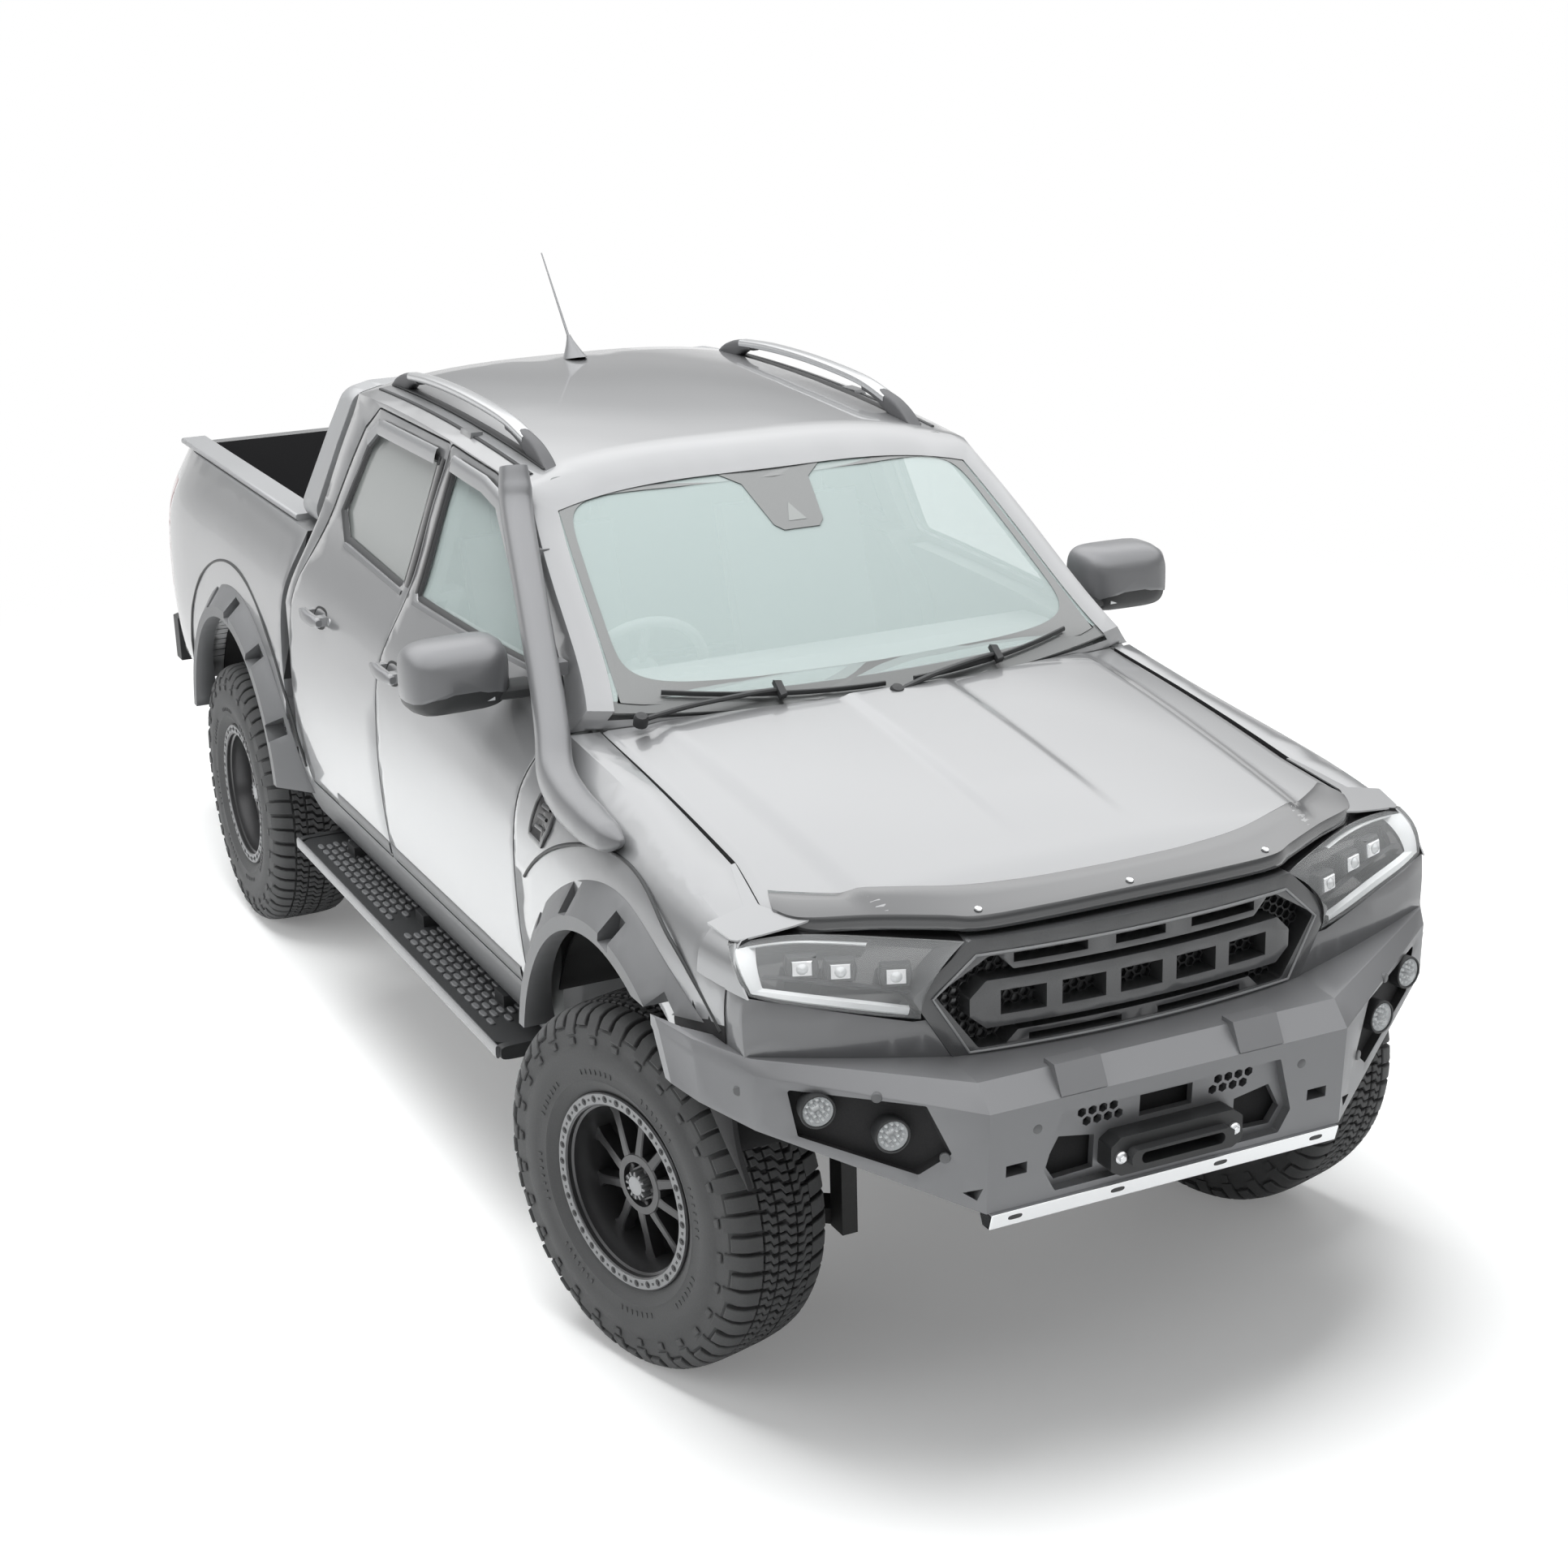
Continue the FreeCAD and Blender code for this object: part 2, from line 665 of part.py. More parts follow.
def grille():
    """Surround with a slotted bar above and below and a ladder bar between."""
    body = prism_x(grille_outline(0.0), 640.0, 900.0, 12.0).common(nose_block(0.0))
    body = body.cut(nose_block(75.0))
    body = body.cut(prism_x(grille_outline(40.0), 600.0, 900.0, 10.0))
    mesh = prism_x(grille_outline(34.0), 640.0, 900.0, 10.0)
    mesh = mesh.common(nose_block(58.0)).cut(nose_block(68.0))
    top = grille_bar([(-300.0, 1108.0), (300.0, 1108.0), (352.0, 1160.0), (-352.0, 1160.0)], 6.0, 58.0,
                     [(-300.0, -129.0, 1122.0, 1144.0), (-62.0, 62.0, 1122.0, 1144.0),
                      (129.0, 300.0, 1122.0, 1144.0)])
    low = grille_bar([(-330.0, 930.0), (330.0, 930.0), (290.0, 970.0), (-290.0, 970.0)], 6.0, 58.0,
                     [(-265.0, -45.0, 942.0, 958.0), (45.0, 265.0, 942.0, 958.0)])
    windows = [(y - 52.0, y + 52.0, 1012.0, 1066.0) for y in (-280.0, -140.0, 0.0, 140.0, 280.0)]
    ladder = grille_bar([(-400.0, 1056.0), (-364.0, 1092.0), (364.0, 1092.0), (400.0, 1056.0),
                         (400.0, 1016.0), (364.0, 986.0), (-364.0, 986.0), (-400.0, 1016.0)],
                        0.0, 60.0, windows)
    slam_panel = box(600.0, 700.0, -330.0, 330.0, 1130.0, 1400.0)
    slam_panel = slam_panel.common(top_block(bonnet_skin + seat_gap, 40.0))
    whole = fused([body, mesh, top, low, ladder, slam_panel])
    whole = whole.common(top_block(bonnet_skin + seat_gap, 900.0))
    return whole.cut(bumper_half()).cut(mirrored(bumper_half()))


def bonnet_plan():
    """Right half of the bonnet in plan, outer edge first."""
    return [(-447.0, 711.0), (300.0, 711.0), (470.0, 740.0), (560.0, 690.0),
            (690.0, 430.0), (728.0, 363.0)]


def bonnet():
    """Domed panel ending above the grille and lamps."""
    left = bonnet_plan()
    right = [(x, -y) for x, y in reversed(left)]
    plan = prism_z(left + [(746.0, 0.0)] + right + [(-700.0, -711.0), (-700.0, 711.0)], 900.0, 1700.0)
    behind = plan_block(bonnet_back, 900.0, 1700.0, -900.0, 1000.0)
    panel = top_block(0.0, bonnet_skin).common(plan).cut(behind)
    return panel


def bonnet_guard():
    """Dark strip lying on the bonnet's front edge."""
    left = [(470.0, 736.0), (556.0, 690.0), (686.0, 430.0), (724.0, 363.0)]
    right = [(x, -y) for x, y in reversed(left)]
    inner = [(650.0, 0.0), (628.0, 340.0), (590.0, 430.0), (440.0, 700.0)]
    inner_right = [(x, -y) for x, y in inner[1:]]
    plan = prism_z(left + [(742.0, 0.0)] + right + inner_right[::-1] + inner, 900.0, 1700.0)
    return top_block(-seat_gap - 5.0, 5.0).common(plan)


def bumper_stations():
    """Side-view outlines of the bumper plate from its middle to the wing end."""
    middle = [(893.0, 640.0), (909.0, 871.0), (860.0, 923.0), (720.0, 935.0), (720.0, 905.0),
              (846.0, 893.0), (866.0, 862.0), (850.0, 640.0)]
    outer = [(652.0, 823.0), (657.0, 947.0), (640.0, 979.0), (560.0, 990.0), (560.0, 960.0),
             (604.0, 952.0), (616.0, 935.0), (610.0, 823.0)]
    corner = [(550.0, 864.0), (538.0, 967.0), (526.0, 997.0), (470.0, 1003.0), (470.0, 975.0),
              (496.0, 968.0), (504.0, 955.0), (508.0, 864.0)]
    end = [(483.0, 886.0), (428.0, 984.0), (408.0, 1006.0), (384.0, 1006.0), (384.0, 982.0),
           (396.0, 974.0), (404.0, 960.0), (452.0, 886.0)]
    return ((0.0, middle), (bumper_fold_y, middle), (850.0, outer), (930.0, corner), (962.0, end))


@functools.lru_cache(maxsize=None)
def bumper_half():
    """Left half of the folded plate: ruled faces between its stations."""
    wires = []
    for y, outline in bumper_stations():
        points = [Vec(x, y, z) for x, z in outline]
        wires.append(Part.makePolygon(points + points[:1]))
    return Part.makeLoft(wires, True, True)


def pressed(outline, depth):
    """What a front-view recess takes out of the bumper's face."""
    behind = bumper_half().copy()
    behind.translate(Vec(-depth, 0, 0))
    return prism_x(outline, 560.0, front_reach, 6.0).cut(behind)


def hexagon(y, z, radius):
    points = []
    for i in range(6):
        turn = math.radians(60.0 * i + 30.0)
        points.append((y + radius * math.cos(turn), z + radius * math.sin(turn)))
    return prism_x(points, 780.0, front_reach)


def bumper_openings():
    """Recesses and holes of the left half."""
    lamp_recess = [(795.0, 918.0), (554.0, 888.0), (508.0, 779.0), (565.0, 729.0), (776.0, 812.0)]
    centre = [(-1.0, 835.0), (274.0, 835.0), (310.0, 706.0), (282.0, 655.0), (-1.0, 655.0)]
    side_hole = [(296.0, 708.0), (264.0, 768.0), (176.0, 752.0), (176.0, 674.0), (272.0, 670.0)]
    tools = [pressed(lamp_recess, 26.0), pressed(centre, 24.0)]
    tools.append(prism_x(side_hole, 780.0, front_reach))
    tools.append(box(780.0, front_reach, -1.0, 66.0, 768.0, 818.0))
    tools.append(box(780.0, front_reach, 352.0, 402.0, 716.0, 742.0))
    tools.append(prism_x([(452.0, 700.0), (488.0, 690.0), (462.0, 672.0)], 780.0, front_reach))
    for i in range(4):
        for row in range(2):
            tools.append(hexagon(118.0 + 26.0 * i + 13.0 * row, 788.0 + 23.0 * row, 11.5))
    return tools


@functools.lru_cache(maxsize=None)
def front_bumper():
    """Folded steel bumper with its lamp recesses, cut-outs and mounts."""
    tow_block = prism_y([(911.0, 874.0), (880.0, 934.0), (840.0, 934.0), (840.0, 900.0)], 165.0, 277.0)
    half = fused([bumper_half(), tow_block])
    for tool in bumper_openings():
        half = half.cut(tool)
    mount = box(rail_front_x(), 860.0, rail_offset - 30.0, rail_offset + 30.0, 660.0, 700.0)
    half = fused([half, mount])
    return fused([half, mirrored(half)])


def rail_front_x():
    return 700.0


def bumper_strip():
    outline = [(862.0, 600.0), (892.0, 600.0), (905.0, 640.0 - seat_gap), (845.0, 640.0 - seat_gap)]
    return prism_y(outline, -438.0, 438.0)


def fairlead():
    """Hawse plate with a slot, bolted into the bumper's middle recess."""
    plate = prism_x([(-165.0, 682.0), (-165.0, 738.0), (-140.0, 756.0), (140.0, 756.0), (165.0, 738.0),
                     (165.0, 682.0), (140.0, 668.0), (-140.0, 668.0)], 800.0, 926.0, 10.0)
    lip = prism_x([(-128.0, 690.0), (-128.0, 730.0), (128.0, 730.0), (128.0, 690.0)], 900.0, front_reach, 18.0)
    slot = prism_x([(-104.0, 697.0), (-104.0, 723.0), (104.0, 723.0), (104.0, 697.0)], 700.0, 1000.0, 12.0)
    seat = bumper_half().copy()
    seat.translate(Vec(seat_gap - 24.0, 0, 0))
    plate = plate.cut(seat).cut(mirrored(seat))
    behind = box(700.0, 860.0, -300.0, 300.0, 600.0, 800.0)
    return fused([plate.cut(behind), lip]).cut(slot)


def foremost(shape):
    """The solid of a cut shape that lies furthest forward."""
    return sorted(shape.Solids, key=lambda s: s.CenterOfMass.x)[-1]


def spot_lamps():
    lamps = []
    for x, y, z in ((722.0, 746.0, 876.0), (798.0, 615.0, 823.0)):
        lamps.append(cylinder(Vec(x - 44.0, y, z), Vec(1, 0.2, 0), 37.0, 52.0))
    floor = bumper_half().copy()
    floor.translate(Vec(seat_gap - 26.0, 0, 0))
    left = compound([foremost(lamp.cut(floor).cut(front_bumper())) for lamp in lamps])
    return both_sides(left)


def wipers():
    """Two blades parked on the foot of the windscreen."""
    radius = 7.0
    slant = math.hypot(1.0, screen_slope)
    lift = radius + 2.0 * seat_gap - screen_inset / slant
    off = Vec(lift / slant, 0, lift * screen_slope / slant)
    blades = []
    for y0, y1 in ((-560.0, -20.0), (60.0, 560.0)):
        points = []
        for y in steps(y0, y1, 5):
            z = 1404.0 + 0.00009 * y * y
            points.append(Vec(screen_at(y, z), y, z) + off)
        blades.append(tube(points, radius, 200.0))
    return compound(blades)


def snorkel():
    """Intake duct from the right wing up along the windscreen pillar."""
    path = [Vec(-70.0, -882.0, 1262.0), Vec(-320.0, -880.0, 1290.0), Vec(-470.0, -830.0, 1385.0),
            Vec(-1010.0, -690.0, 1765.0), Vec(-1080.0, -672.0, 1880.0)]
    duct = tube(path, 41.0, 110.0)
    body = side_block(-seat_gap).common(top_block(-seat_gap, 900.0))
    duct = duct.cut(body)
    pillar = side_block(-seat_gap).common(box(-1600.0, -380.0, -1100.0, 0.0, 1200.0, 1960.0))
    duct = duct.cut(pillar.common(screen_block(0.0, 4500.0)))
    solids = sorted(duct.Solids, key=lambda s: s.Volume)
    return solids[-1]


# Wheel arches

def flare_side(station, pocket_turns):
    """Pocket flare over one left wheel, a cone from the body to its lip."""
    inner = Part.Wire(Part.makeCircle(flare_radius, Vec(station + flare_x, flare_inner_y, flare_z),
                                      Vec(0, 1, 0)))
    outer = Part.Wire(Part.makeCircle(arch_radius + 34.0, Vec(station + arch_x, flare_outer_y, arch_z),
                                      Vec(0, 1, 0)))
    cone = Part.makeLoft([inner, outer], True)
    arch = cylinder(Vec(station + arch_x, 700.0, arch_z), Vec(0, 1, 0), arch_radius, 400.0)
    flare = cone.cut(arch)
    for turn in pocket_turns:
        pocket = box(-28.0, 28.0, 904.0, 1000.0, 600.0, 668.0)
        bolt = cylinder(Vec(0, 903.0, 634.0), Vec(0, 1, 0), 9.0, 8.0)
        for shape in (pocket, bolt):
            shape.rotate(Vec(0, 0, 0), Vec(0, 1, 0), turn)
            shape.translate(Vec(station + flare_x, 0, flare_z))
        flare = fused([flare.cut(pocket), bolt])
    return flare.cut(side_block(-seat_gap))


def wheel_flares():
    front = flare_side(0.0, (-62.0, -38.0, -14.0, 10.0, 34.0))
    front_end = door_front_x + hinge_ahead + 37.0
    front = front.common(prism_y([(front_end, 668.0), (front_end, 1400.0), (545.0, 1400.0),
                                  (545.0, 1012.0), (60.0, 1012.0), (60.0, 668.0)], 700.0, 1100.0))
    rear = flare_side(rear_axle_x, (-62.0, -38.0, -14.0, 10.0, 34.0, 58.0))
    rear = rear.common(prism_y([(rear_axle_x - 800.0, 640.0), (rear_axle_x - 800.0, 1400.0),
                                (rear_axle_x + 900.0, 1400.0), (rear_axle_x + 900.0, 640.0)],
                               700.0, 1100.0))
    left = compound([front, rear])
    return both_sides(left)


def liner(station, inner_y, front_limit, rear_limit):
    """Half-round liner shell inside one left arch."""
    axis = Vec(0, 1, 0)
    length = 850.0 - inner_y
    outer = cylinder(Vec(station + cut_x, inner_y, cut_z), axis, cut_radius - seat_gap, length)
    inner = cylinder(Vec(station + cut_x, inner_y - 1.0, cut_z), axis, cut_radius - 8.0, length + 2.0)
    shell = outer.cut(inner)
    keep = box(station - rear_limit, station + front_limit, 0.0, 1000.0, 720.0, 1200.0)
    return shell.common(keep).common(side_block(wing_skin + seat_gap))


def wheel_liners():
    front = liner(0.0, 470.0, 540.0, 500.0)
    rear = liner(rear_axle_x, 560.0, 560.0, 560.0)
    rear = rear.common(box(-4100.0, bed_front_x, 0.0, 1000.0, 700.0, 1200.0))
    return both_sides(compound([front, rear]))


# Rear body

def load_bed():
    """Open bed with double side walls and boxed wheel tubs."""
    outline = [(bed_front_x, bed_bottom_z + 240.0), (bed_front_x, bed_top_z), (bed_rear_x - 66.0, bed_top_z),
               (bed_rear_x - 66.0, bed_bottom_z + 110.0), (bed_rear_x + 120.0, bed_bottom_z + 30.0),
               (-2700.0, bed_bottom_z + 30.0)]
    body = side_block(0.0).common(prism_y(outline, -1100.0, 1100.0))
    inside = box(bed_rear_x, bed_front_x - 50.0, -bed_inner_half, bed_inner_half, bed_floor_z, 1600.0)
    tubs = []
    for side in (1.0, -1.0):
        y0 = min(side * 550.0, side * 720.0)
        tubs.append(box(-3700.0, -2680.0, y0, y0 + 170.0, bed_floor_z - 10.0, 1090.0))
    body = fused([body.cut(inside)] + tubs)
    gate = box(bed_rear_x - 80.0, bed_rear_x, -tailgate_half - shut_gap, tailgate_half + shut_gap,
               tailgate_bottom_z - shut_gap, 1600.0)
    under = box(bed_rear_x - 80.0, bed_front_x + 10.0, -560.0, 560.0, 600.0, bed_floor_z - 50.0)
    body = body.cut(gate).cut(under)
    for side in (1.0, -1.0):
        arch = cylinder(Vec(rear_axle_x + cut_x, side * 560.0, cut_z), Vec(0, side, 0), cut_radius, 700.0)
        body = body.cut(arch)
        inner = box(bed_rear_x - 80.0, -3760.0, 560.0, 830.0, 600.0, bed_floor_z - 50.0)
        body = body.cut(inner if side > 0 else mirrored(inner))
    body = body.cut(tail_block(seat_gap)).cut(mirrored(tail_block(seat_gap)))
    pin = gate_pin(0.0)
    return fused([body, pin, mirrored(pin)])


def gate_pin(grow):
    """Left pivot pin of the tailgate."""
    start = Vec(bed_rear_x - shut_gap - 0.5 * tailgate_thick, tailgate_half - 16.0 - grow, tailgate_bottom_z + 24.0)
    return cylinder(start, Vec(0, 1, 0), 9.0 + grow, 60.0 + grow)


def tail_block(grow):
    return box(bed_rear_x - 80.0, bed_rear_x + 60.0 + grow, 775.0 - grow, 1000.0,
               955.0 - grow, 1335.0 + grow)


def tail_lamps():
    left = tail_block(0.0).common(side_block(0.0)).common(
        box(bed_rear_x - 66.0, -4000.0, 700.0, 1000.0, 900.0, 1400.0))
    return both_sides(left)


def tailgate():
    """Drop tailgate with a moulded lip along its top."""
    y = tailgate_half
    outer_x = bed_rear_x - shut_gap - tailgate_thick
    panel = box(outer_x, bed_rear_x - shut_gap, -y, y, tailgate_bottom_z, bed_top_z)
    upright = [e for e in panel.Edges if e.BoundBox.XLength > 20.0]
    panel = panel.makeFillet(12.0, upright)
    recess = box(outer_x - 1.0, outer_x + 14.0, -150.0, 150.0, 1240.0, 1330.0)
    return panel.cut(recess).cut(gate_pin(seat_gap)).cut(mirrored(gate_pin(seat_gap)))


def bed_caps():
    left = box(bed_rear_x - 60.0, bed_front_x - 160.0, 700.0, 792.0, bed_top_z + seat_gap, bed_top_z + 20.0)
    edges = [e for e in left.Edges if e.BoundBox.XLength > 400.0]
    return both_sides(left.makeFillet(8.0, edges))


def sports_bar():
    """Hoop behind the cab, raked back to its feet on the bed rails."""
    top = 1874.0
    foot = bed_top_z + seat_gap
    outer = [(-797.0, foot), (-640.0, top - 20.0), (-560.0, top), (560.0, top), (640.0, top - 20.0),
             (797.0, foot)]
    inner = [(-735.0, foot - 40.0), (-592.0, top - 84.0), (-540.0, top - 70.0),
             (540.0, top - 70.0), (592.0, top - 84.0), (735.0, foot - 40.0)]
    hoop = prism_x(outer, -3100.0, -2500.0, 60.0)
    hoop = hoop.cut(prism_x(inner, -3200.0, -2400.0, 50.0))
    rake = [(-2610.0, foot), (-2575.0, 1700.0), (-2530.0, top + 20.0), (-2640.0, top + 20.0),
            (-2690.0, 1740.0), (-2760.0, foot)]
    return hoop.common(prism_y(rake, -1000.0, 1000.0))


def rear_bumper():
    front = bed_rear_x - 72.0
    plan = [(front, -868.0), (front, 868.0), (-4330.0, 868.0), (-4455.0, 740.0),
            (-4455.0, -740.0), (-4330.0, -868.0)]
    body = prism_z(plan, 640.0, 800.0)
    tongue = box(-4455.0, -4270.0, -50.0, 50.0, 560.0, 579.0)
    hanger = box(-4360.0, -4270.0, -50.0, 50.0, 579.0, 641.0)
    hole = cylinder(Vec(-4410.0, 0, 500.0), Vec(0, 0, 1), 11.0, 120.0)
    body = body.cut(box(-4460.0, -4340.0, -120.0, 120.0, 700.0, 810.0))
    brackets = []
    for side in (1.0, -1.0):
        y = side * rail_offset
        brackets.append(box(front - 1.0, -4150.0, y - 30.0, y + 30.0, 690.0, 780.0))
    return fused([body, tongue, hanger] + brackets).cut(hole)


# Roof fittings

def roof_rail():
    side = [(-1170.0, 1800.0), (-1330.0, 1916.0), (-1800.0, 1948.0), (-2300.0, 1946.0),
            (-2460.0, 1880.0), (-2300.0, 1850.0), (-1300.0, 1840.0)]
    bar = prism_y(side, 516.0, 552.0, 60.0)
    gap = [(-1400.0, 1880.0), (-1420.0, 1892.0), (-1800.0, 1918.0), (-2220.0, 1918.0), (-2240.0, 1880.0)]
    return bar.cut(prism_y(gap, 500.0, 560.0)).cut(roof_block(-seat_gap, 400.0))


def roof_rails():
    return both_sides(roof_rail())


def antenna():
    top = roof_z(-2365.0, 0.0)
    base = Part.makeCone(36.0, 9.0, 62.0, Vec(-2365.0, 0, top + seat_gap - 2.0), Vec(-0.35, 0, 1))
    whip_start = Vec(-2384.0, 0, top + 52.0)
    whip_end = Vec(-2590.0, 0, 2219.0)
    whip = cylinder(whip_start, whip_end - whip_start, 3.0, (whip_end - whip_start).Length)
    return fused([base, whip]).cut(roof_block(-seat_gap, 400.0))


# Chassis

def rail_side_outline():
    """Rail dropped between the axles and arched over the rear one."""
    top = rail_top_z
    low = rail_top_z - rail_depth
    up = rear_kick
    return [(rail_front_x(), low + 110.0), (rail_front_x(), top + 110.0), (250.0, top + 110.0),
            (-480.0, top), (-2590.0, top), (-2850.0, top + up), (-3700.0, top + up),
            (-4150.0, top + up - 20.0), (-4150.0, low + up - 10.0), (-3650.0, low + up + 10.0),
            (-2900.0, low + up), (-2560.0, low), (-520.0, low), (240.0, low + 100.0)]


def chassis_frame():
    half = rail_width / 2.0
    rail = prism_y(rail_side_outline(), rail_offset - half, rail_offset + half, 90.0)
    members = []
    for x, z, depth in ((520.0, 690.0, 90.0), (-620.0, 498.0, 62.0), (-1500.0, 488.0, 60.0),
                        (-2360.0, 602.0, 40.0), (-3000.0, 730.0, 60.0), (-4050.0, 690.0, 80.0)):
        members.append(box(x - 45.0, x + 45.0, -rail_offset, rail_offset, z, z + depth))
    body_mounts = []
    for x in (-700.0, -1600.0, -2300.0):
        mount = cylinder(Vec(x, rail_offset, rail_top_z - 2.0), Vec(0, 0, 1), 34.0,
                         cab_floor_z - rail_top_z + 2.0 - seat_gap)
        body_mounts.append(mount)
    for x in (-2900.0, -3650.0):
        mount = box(x - 40.0, x + 40.0, rail_offset - 30.0, rail_offset + 30.0,
                    rail_top_z + rear_kick - 10.0, bed_floor_z - 50.0 - seat_gap)
        body_mounts.append(mount)
    arm = box(-110.0, -10.0, 250.0 + seat_gap, rail_offset, 640.0, 740.0)
    pieces = [rail, arm] + body_mounts
    pad = box(-660.0, -580.0, -70.0, 70.0, 540.0, 640.0).cut(gearbox(seat_gap))
    pad = pad.common(box(-900.0, 0.0, -300.0, 300.0, 0.0, 600.0))
    return fused(pieces + [mirrored(p) for p in pieces] + members + [pad])


def engine():
    block = box(engine_rear_x, 260.0, -250.0, 250.0, 700.0, 1150.0)
    sump = box(-400.0, 150.0, -150.0, 150.0, 600.0, 701.0)
    return fused([block, sump])


def gearbox(grow):
    start = Vec(engine_rear_x - seat_gap, 0, 690.0)
    return Part.makeCone(120.0 + grow, 90.0 + grow, 500.0, start, Vec(-1, 0, 0))


def driveline():
    """Gearbox behind the engine, then the propeller shaft to the axle."""
    shaft_start = Vec(-925.0, 0, 650.0)
    shaft_end = Vec(rear_axle_x + 170.0, 0, tyre_radius + 30.0)
    direction = shaft_end - shaft_start
    shaft = cylinder(shaft_start, direction, 38.0, direction.Length)
    return fused([gearbox(0.0), shaft])


def rear_axle():
    """Live axle with its differential and drum brakes."""
    z = tyre_radius
    x = rear_axle_x
    tube_half = 640.0
    axle = cylinder(Vec(x, -tube_half, z), Vec(0, 1, 0), 46.0, 2.0 * tube_half)
    case = Part.makeSphere(150.0, Vec(x, 0, z))
    nose = cylinder(Vec(x + 60.0, 0, z + 10.0), Vec(1, 0, 0.15), 60.0, 104.0)
    pieces = [axle, case, nose]
    for side in (1.0, -1.0):
        drum = cylinder(Vec(x, side * tube_half, z), Vec(0, side, 0), 150.0, 110.0)
        hub = cylinder(Vec(x, side * 700.0, z), Vec(0, side, 0), 39.7, 150.0)
        pad = box(x - 60.0, x + 60.0, side * 500.0 - 40.0, side * 500.0 + 40.0, z + 20.0, z + 70.0 - seat_gap)
        pieces.extend([drum, hub, pad])
    return fused(pieces)


def leaf_spring():
    """Arched leaf pack between its frame brackets."""
    x = rear_axle_x
    z = tyre_radius + 70.0
    leaves = []
    for i, share in enumerate((1.0, 0.72, 0.45)):
        low = z - 0.01 + i * 14.0
        rise = 100.0 * share * share
        outline = [Vec(x + 640.0 * share, 465.0, low + rise), Vec(x, 465.0, low), Vec(x - 640.0 * share, 465.0, low + rise)]
        lower = Part.Arc(*outline).toShape()
        up = Vec(0, 0, 14.0)
        upper = Part.Arc(outline[2] + up, outline[1] + up, outline[0] + up).toShape()
        face = Part.Face(Part.Wire([lower, Part.makeLine(outline[2], outline[2] + up), upper,
                                    Part.makeLine(outline[0] + up, outline[0])]))
        leaves.append(face.extrude(Vec(0, 70.0, 0)))
    eyes = []
    inner = rail_offset + rail_width / 2.0 + seat_gap
    for end_x in (x + 640.0, x - 640.0):
        eyes.append(cylinder(Vec(end_x, inner, z + 110.0), Vec(0, 1, 0), 28.0, 535.0 - inner))
    return fused(leaves + eyes)


def leaf_springs():
    return both_sides(leaf_spring())


def front_arm(base_half, z0, z1, window):
    """Wishbone from the frame out over the steering pivot."""
    tip = kingpin_offset + 18.0
    plan = [(-base_half, 412.0), (base_half, 412.0), (30.0, 600.0), (26.0, tip), (-26.0, tip),
            (-30.0, 600.0)]
    hole = [(-base_half + window, 380.0), (base_half - window, 380.0), (20.0, 530.0), (-20.0, 530.0)]
    return prism_z(plan, z0, z1, 14.0).cut(prism_z(hole, z0 - 10.0, z1 + 10.0, 14.0))


def front_arms():
    """Lower and upper wishbones with the coil strut between them."""
    lower = front_arm(210.0, arm_low_z - 40.0, arm_low_z, 80.0)
    upper = front_arm(130.0, arm_high_z, arm_high_z + 22.0, 45.0)
    strut = cylinder(Vec(0, 560.0, arm_low_z - 1.0), Vec(0, -0.16, 1), 40.0, 575.0)
    inner = rail_offset + rail_width / 2.0 + seat_gap
    posts = [box(-240.0, -180.0, inner, 450.0, arm_low_z - 40.0, 640.0),
             box(180.0, 240.0, inner, 450.0, arm_low_z - 40.0, 700.0),
             box(-120.0, 120.0, inner, 520.0, 780.0, 880.0),
             box(-130.0, -90.0, inner, 440.0, arm_high_z, 800.0),
             box(90.0, 130.0, inner, 440.0, arm_high_z, 800.0)]
    return both_sides(fused([lower, upper, strut] + posts))


# Wheels

def steered(shape, side):
    shape.rotate(Vec(0, side * kingpin_offset, 0), Vec(0, 0, 1), rest_steer)
    return shape


def knuckle(side):
    """Upright with its disc and stub axle, turned with the wheel."""
    z = tyre_radius
    y = kingpin_offset
    low = arm_low_z + seat_gap
    high = arm_high_z - seat_gap
    upright = box(-36.0, 36.0, y - 25.0, y + 25.0, low + 12.0, high - 12.0)
    pivot = cylinder(Vec(0, y, low), Vec(0, 0, 1), 18.0, high - low)
    disc = cylinder(Vec(0, y + 45.0, z), Vec(0, 1, 0), 165.0, 24.0)
    stub = cylinder(Vec(0, y, z), Vec(0, 1, 0), 39.7, 160.0)
    calliper = box(70.0, 138.0, y + 36.0, y + 80.0, z + 20.0, z + 130.0)
    shape = fused([upright, pivot, disc, stub, calliper])
    if side < 0:
        shape = mirrored(shape)
    return steered(shape, side)


def wheel_place(name, shape):
    """Moves a wheel part from the origin to its hub."""
    shape = shape.copy()
    left = name.endswith("l")
    side = 1.0 if left else -1.0
    if not left:
        shape = mirrored(shape)
    front = name.startswith("f")
    shape.translate(Vec(0.0 if front else rear_axle_x, side * wheel_offset, tyre_radius))
    if front:
        shape = steered(shape, side)
    return shape


def revolved(profile):
    """Solid of revolution about Y from (radius, y) points."""
    points = [Vec(r, y, 0) for r, y in profile]
    face = Part.Face(Part.makePolygon(points + points[:1]))
    return face.revolve(Vec(0, 0, 0), Vec(0, 1, 0), 360.0)


bead_radius = 220.0
bead_half = 112.0
ring_radius = 236.0
lug_count = 20
lug_share = 0.58
lug_depth = 13.0
rib_half = 46.0


def flat_face(points):
    return Part.Face(Part.makePolygon(points + points[:1]))


def at_turn(section, degrees):
    """Points of a (radius, y) section at an angle about the wheel's axle."""
    turn = math.radians(degrees)
    return [Vec(r * math.sin(turn), y, r * math.cos(turn)) for r, y in section]


